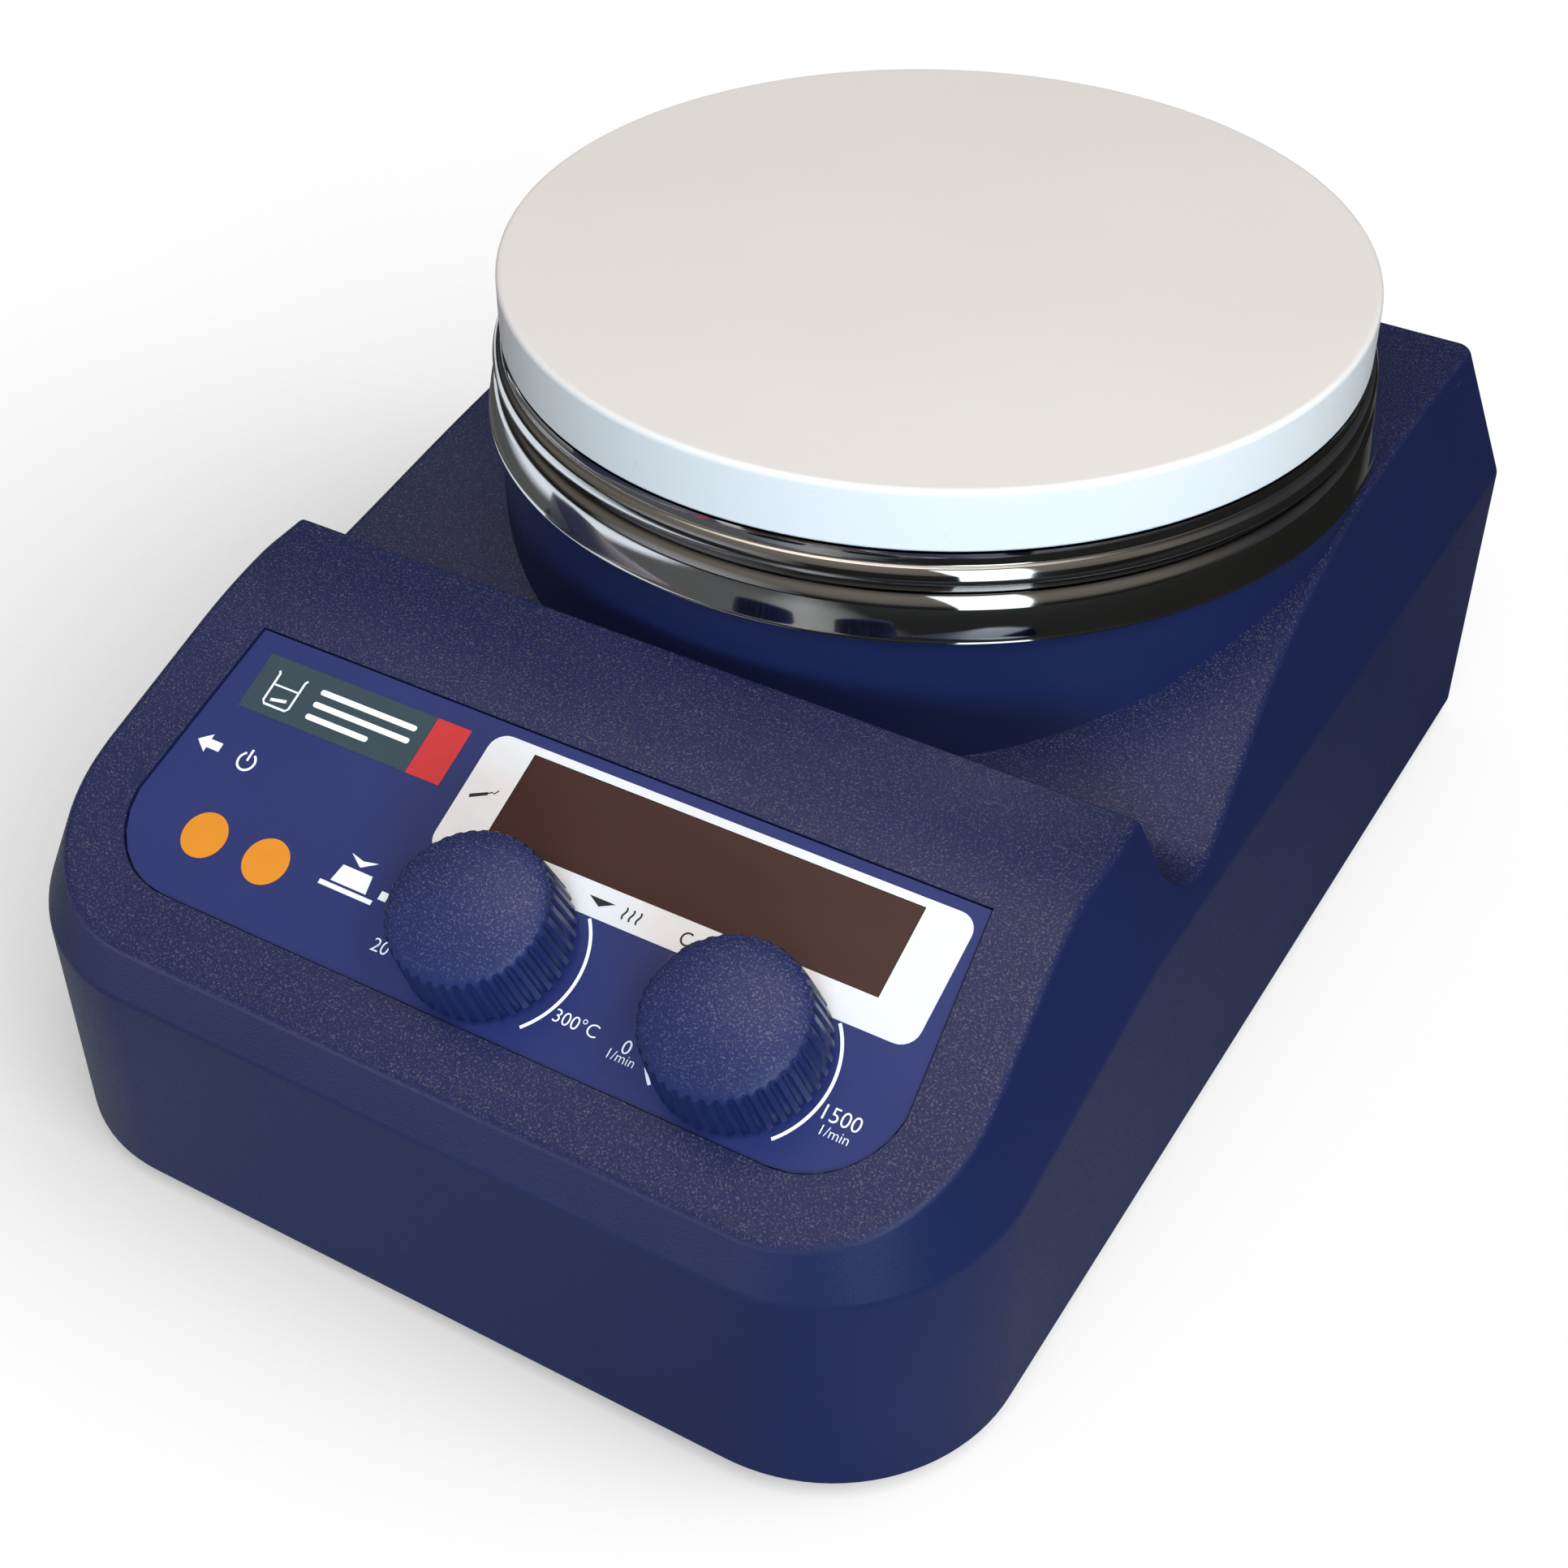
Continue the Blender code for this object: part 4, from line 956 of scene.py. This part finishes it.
def metal(name, colour, roughness, stretch=(1, 1, 1), size=0.002, depth=0.000004):
    """Plated or brushed metal, with streaks along the stretched way."""
    make = Recipe(name)
    streak = make.noise(size, 4.0, 0.6, stretch)
    smudge = make.noise(0.018, 3.0)
    dull = tuple(channel * 0.80 for channel in colour)
    make.set(base_color=make.blend(make.span(smudge, 0.0, 1.0), dull, colour), metallic=1.0)
    rough = make.span(streak, roughness * 0.75, roughness * 1.3)
    make.set(roughness=rough, normal=make.bump(streak, depth))
    return make.material


def chrome_metal():
    """Polished plating with barely visible spinning marks and smears, and painted shade darkening its narrow
    folds.
    """
    make = Recipe("polished_chrome")
    spun = make.noise(0.0012, 3.0, 0.6, (0.15, 0.15, 3.0))
    smear = make.noise(0.022, 3.0)
    tone = make.blend(make.span(smear, 0.0, 1.0), (0.66, 0.655, 0.64), (0.74, 0.735, 0.72))
    # Painted shade: occluded folds are blended towards near-black.
    painted_fold_shade = make.add("ShaderNodeAmbientOcclusion", {"Distance": 0.0025}, samples=8).outputs["AO"]
    tone = make.blend(make.span(painted_fold_shade, 0.0, 1.0, 0.62, 0.90), (0.02, 0.02, 0.02), tone)
    make.set(base_color=tone, metallic=1.0, roughness=make.span(smear, 0.04, 0.09))
    make.set(normal=make.bump(spun, 0.0000002))
    return make.material


def ceramic_coat():
    """Off-white enamel: very fine texture, pinhead specks and faint warm patches."""
    make = Recipe("ceramic_coat")
    patch = make.noise(0.040, 2.0)
    fine = make.noise(0.0006, 2.0)
    speck_and_glint = make.noise(0.0011, 1.0)
    tone = make.blend(make.span(patch, 0.0, 1.0), (0.700, 0.666, 0.644), (0.715, 0.681, 0.660))
    tone = make.blend(make.span(speck_and_glint, 0.0, 0.20, 0.72, 0.80), tone, (0.52, 0.50, 0.47))
    make.set(base_color=tone, roughness=make.span(fine, 0.34, 0.44), specular_ior_level=0.40)
    make.set(normal=make.bump(fine, 0.000006))
    return make.material


def film_material():
    """Blue polyester label with a fine velvet texture."""
    make = Recipe("label_film_blue")
    patch = make.noise(0.025, 2.0)
    fine = make.noise(0.00018, 2.0, 0.6)
    tone = make.blend(make.span(patch, 0.0, 1.0), (0.0145, 0.0215, 0.104), (0.0180, 0.0255, 0.116))
    tone = make.blend(make.span(fine, 0.0, 0.35, 0.50, 0.80), tone, (0.040, 0.048, 0.165))
    make.set(base_color=tone, roughness=make.span(fine, 0.40, 0.50), normal=make.bump(fine, 0.000006))
    return make.material


def window_material():
    """Smoked brown acrylic with a shallow gloss and faint streaks."""
    make = Recipe("smoked_window")
    streak = make.noise(0.010, 2.0, 0.5, (0.4, 2.0, 1.0))
    fine = make.noise(0.0005, 2.0)
    tone = make.blend(make.span(streak, 0.0, 1.0), (0.040, 0.0140, 0.0118), (0.045, 0.0162, 0.0136))
    make.set(base_color=tone, roughness=make.span(fine, 0.16, 0.22), normal=make.bump(fine, 0.0000015))
    make.set(specular_ior_level=0.25)
    return make.material


def rubber_material():
    """Soft black rubber with fine grain and a little dust."""
    make = Recipe("black_rubber")
    fine = make.noise(0.0003, 3.0)
    dust = make.noise(0.006, 3.0)
    tone = make.blend(make.span(dust, 0.0, 1.0), (0.012, 0.012, 0.013), (0.026, 0.026, 0.027))
    make.set(base_color=tone, roughness=make.span(fine, 0.70, 0.90), normal=make.bump(fine, 0.000012))
    return make.material


def board_material():
    """Green solder resist over a maze of tracks and pads."""
    make = Recipe("circuit_board")
    where = {"Vector": make.position, "Scale": 420.0}
    cells = make.add("ShaderNodeTexVoronoi", where, distance="MANHATTAN")
    tracks = make.span(cells.outputs["Distance"], 0.0, 1.0, 0.30, 0.36)
    tone = make.blend(tracks, (0.012, 0.095, 0.036), (0.020, 0.160, 0.060))
    pads = make.span(cells.outputs["Distance"], 1.0, 0.0, 0.07, 0.09)
    tone = make.blend(pads, tone, (0.60, 0.58, 0.50))
    make.set(base_color=tone, roughness=0.35, metallic=pads, normal=make.bump(tracks, 0.00002))
    return make.material


def winding_material():
    """Lacquered copper wire laid in close turns."""
    make = Recipe("copper_winding")
    where = {"Vector": make.position, "Scale": 420.0, "Distortion": 1.0}
    turns = make.add("ShaderNodeTexWave", where, bands_direction="Z")
    tone = make.blend(turns.outputs["Fac"], (0.30, 0.10, 0.035), (0.72, 0.33, 0.15))
    make.set(base_color=tone, metallic=1.0, roughness=0.32, normal=make.bump(turns.outputs["Fac"], 0.0001))
    return make.material


def wool_material():
    """Felted mineral fibre."""
    make = Recipe("mineral_wool")
    fibre = make.noise(0.0012, 6.0, 0.7, (1.0, 1.0, 5.0), 2.0)
    tone = make.blend(make.span(fibre, 0.0, 1.0), (0.42, 0.37, 0.27), (0.72, 0.68, 0.58))
    make.set(base_color=tone, roughness=0.95, normal=make.bump(fibre, 0.0004))
    return make.material


def paint_nodes():
    """Gives every CAD node that stays on show its material, by its slot in the record."""
    grain, depth = 0.0003, 0.00001
    black = moulded("black_plastic", (0.012, 0.012, 0.014), (0.020, 0.020, 0.023), 0.42, grain, depth)
    grey = moulded("grey_plastic", (0.16, 0.17, 0.18), (0.21, 0.22, 0.23), 0.45, grain, depth)
    by_slot = {
        "steel": metal("zinc_steel", (0.56, 0.57, 0.58), 0.34, (1.0, 12.0, 1.0)),
        "winding": winding_material(),
        "brass": metal("turned_brass", (0.62, 0.45, 0.18), 0.28),
        "magnet": metal("plated_magnet", (0.30, 0.30, 0.31), 0.40),
        "rubber": rubber_material(),
        "black": black,
        "grey": grey,
        "window": window_material(),
        "board": board_material(),
        "wool": wool_material(),
        "label": film_material(),
        "chrome": chrome_metal(),
    }
    for part in frame["record"]["subparts"]:
        node = NODES[part["node"]]
        material = by_slot.get(part["material_slot"])
        if material and not node.hide_render:
            node.data.materials.clear()
            node.data.materials.append(material)
    for name in SOFT_EDGED:
        soften = NODES[name].modifiers.new("soft edges", "BEVEL")
        soften.width = 0.0003
        soften.segments = 2
        soften.limit_method = "ANGLE"
        soften.angle_limit = radians(40)


# ---------------------------------------------------------------- studio


def aim(thing, target):
    thing.rotation_euler = (Vector(target) - thing.location).to_track_quat("-Z", "Y").to_euler()


def add_softbox(name, azimuth, elevation, distance, size, power, colour, target=(0, 0, 0.06)):
    """A soft area light; azimuth 0 is in front of the console and 90 to its right."""
    lamp = bpy.data.lights.new(name, "AREA")
    lamp.shape = "RECTANGLE"
    lamp.size, lamp.size_y = size
    lamp.energy = power
    lamp.color = colour
    made = bpy.data.objects.new(name, lamp)
    a, e = radians(azimuth), radians(elevation)
    made.location = Vector(target) + distance * Vector((sin(a) * cos(e), -cos(a) * cos(e), sin(e)))
    bpy.context.scene.collection.objects.link(made)
    aim(made, target)
    return made


def floor_shadow(make):
    """How light the floor looks: a soft shadow away from the keys, and a close one at the feet."""
    towards = make.add("ShaderNodeCombineXYZ", {0: 0.72, 1: -0.30, 2: 0.62}).outputs[0]
    cast = make.add("ShaderNodeAmbientOcclusion", {"Distance": 0.5, "Normal": towards}, samples=24)
    close = make.add("ShaderNodeAmbientOcclusion", {"Distance": 0.12}, samples=16)
    cast = make.span(cast.outputs["AO"], 0.30, 1.0, 0.36, 0.92)
    close = make.span(close.outputs["AO"], 0.96, 1.0, 0.4, 0.92)
    return make.times(cast, close)


def floor_mirror(make):
    """The floor's greys as glossy parts show them: near, beside, and far off in front."""
    right, back, _ = make.add("ShaderNodeSeparateXYZ", {0: make.position}).outputs
    near = make.span(make.along(make.position, (-1.0, -0.5, 0.0)), 0.0, 1.0, -0.06, 0.40)
    near = make.blend(near, (0.04, 0.04, 0.04), (0.62, 0.62, 0.64))
    beside = make.blend(make.span(back, 0.0, 1.0, -0.08, 0.10), (0.20, 0.20, 0.23), (0.05, 0.05, 0.07))
    near = make.blend(make.span(right, 0.0, 1.0, 0.064, 0.080), near, beside)
    far = (0.014, 0.014, 0.013)
    for start, end, grey in FAR_FLOOR:
        far = make.blend(make.span(right, 0.0, 1.0, start, end), far, grey)
    reach = make.add("ShaderNodeVectorMath", {0: make.position}, operation="LENGTH").outputs["Value"]
    shade = make.blend(make.span(reach, 0.0, 1.0, 0.14, 0.20), near, far)
    return make.blend(make.span(reach, 0.0, 1.0, 0.45, 0.95), shade, (0.02, 0.02, 0.02))


def build_floor():
    """White with a soft shadow to the camera, shaded greys in mirrors, plain grey for bounced light."""
    bm = bmesh.new()
    bmesh.ops.create_grid(bm, x_segments=4, y_segments=4, size=6.0)
    floor = new_object("studio_floor", bm)
    make = Recipe("pale_floor")
    patch = make.noise(0.8, 2.0)
    tone = make.blend(make.span(patch, 0.0, 1.0), (1.00, 1.00, 1.00), (1.01, 1.01, 1.01))
    shown = make.add("ShaderNodeEmission", {"Color": tone, "Strength": floor_shadow(make)}).outputs[0]
    mirrored = make.add("ShaderNodeBsdfDiffuse", {"Color": floor_mirror(make)}).outputs[0]
    bounced = make.add("ShaderNodeBsdfDiffuse", {"Color": (0.14, 0.14, 0.14)}).outputs[0]
    path = make.add("ShaderNodeLightPath").outputs
    other = make.choose(path["Is Glossy Ray"], bounced, mirrored)
    seen = make.choose(path["Is Camera Ray"], other, shown)
    make.put(make.tree.nodes["Material Output"].inputs["Surface"], seen)
    floor.data.materials.append(make.material)


def room_ramp(make, height):
    """The room from its dark floor line up to a dim ceiling."""
    ramp = make.add("ShaderNodeValToRGB", {0: height})
    elements = ramp.color_ramp.elements
    while len(elements) < len(ROOM):
        elements.new(0.5)
    for element, (position, colour) in zip(elements, ROOM):
        element.position = position
        element.color = (*colour, 1.0)
    return ramp.outputs[0]


def build_world():
    """Even warm light on everything; a grey room with a lamp overhead in mirrors; white to the camera."""
    world = bpy.data.worlds.new("studio")
    bpy.context.scene.world = world
    world.use_nodes = True
    world.node_tree.nodes.clear()
    make = Nodes(world.node_tree)
    where = make.add("ShaderNodeTexCoord").outputs["Generated"]
    _, back, height = make.add("ShaderNodeSeparateXYZ", {0: where}).outputs
    lamp = make.span(make.along(where, (-0.12, 0.15, 0.98)), 0.0, 1.0, 0.87, 0.99, "SMOOTHSTEP")
    room = make.blend(lamp, room_ramp(make, height), (2.3, 2.1, 1.85))
    room = make.blend(make.span(back, 0.0, 1.0, -0.05, 0.45), room, (0.045, 0.045, 0.05))
    ahead = make.along(where, (-0.50, -0.86, 0.0))
    room = make.blend(make.span(ahead, 0.0, 1.0, 0.86, 1.0), room, (0.34, 0.35, 0.38))
    even = make.add("ShaderNodeBackground", {"Color": (0.37, 0.36, 0.35)}).outputs[0]
    mirrored = make.add("ShaderNodeBackground", {"Color": room}).outputs[0]
    white = make.add("ShaderNodeBackground", {"Color": (1.0, 1.0, 1.0)}).outputs[0]
    path = make.add("ShaderNodeLightPath").outputs
    light = make.choose(path["Is Glossy Ray"], even, mirrored)
    make.add("ShaderNodeOutputWorld", {0: make.choose(path["Is Camera Ray"], light, white)})


def build_camera():
    """From the front right and above, as the object is usually shown."""
    lens = bpy.data.cameras.new("camera")
    lens.lens = 56.63
    lens.sensor_width = 36.0
    lens.clip_start = 0.01
    camera = bpy.data.objects.new("camera", lens)
    camera.location = (0.1546, -0.2701, 0.2799)
    camera.rotation_euler = (radians(50.29), 0.0, radians(30.61))
    bpy.context.scene.collection.objects.link(camera)
    bpy.context.scene.camera = camera


def build_lights(shell):
    """Soft keys and a back fill that mirrors ignore, a panel they show, and a sheen on the shell alone."""
    side = add_softbox("side_key", 72, 48, 1.6, (0.6, 0.6), 12.5, (1.0, 0.95, 0.90))
    front = add_softbox("front_key", 8, 52, 1.6, (0.6, 0.6), 9.5, (1.0, 0.95, 0.90))
    low = add_softbox("low_key", 36, 10, 1.6, (0.6, 0.4), 21.0, (0.42, 0.74, 1.0))
    back = add_softbox("back_fill", 226, 5, 1.6, (0.9, 0.2), 10.0, (0.95, 0.97, 1.0))
    for lamp in (side, front, low, back):
        lamp.visible_glossy = False
    add_softbox("panel", 44, 28, 1.6, (0.52, 1.9), 6.5, (0.85, 0.93, 1.0))
    sheen = add_softbox("front_sheen", -24, 4, 1.3, (1.5, 0.5), 3.6, (1.0, 0.88, 0.78))
    sheen.visible_diffuse = False
    shell_only = bpy.data.collections.new("sheen_receivers")
    shell_only.objects.link(shell)
    sheen.light_linking.receiver_collection = shell_only


def main():
    bpy.context.scene.view_settings.view_transform = "Standard"
    shell = place(build_housing(), "chassis", housing_navy(), ["housing"])
    place(build_plate(), "chassis", ceramic_coat(), ["hot_plate"])
    place(build_shield(), "chassis", chrome_metal(), ["heat_shield"])
    knob_material = knob_blue()
    for side in KNOB_X:
        place(build_knob(f"{side}_cap", side), f"{side}_dial", knob_material, [f"{side}_knob"])
    white = printed("ink_white", (0.82, 0.83, 0.85), 0.40)
    build_print(white)
    build_rocker_marks(white)
    paint_nodes()
    build_floor()
    build_world()
    build_lights(shell)
    build_camera()


main()
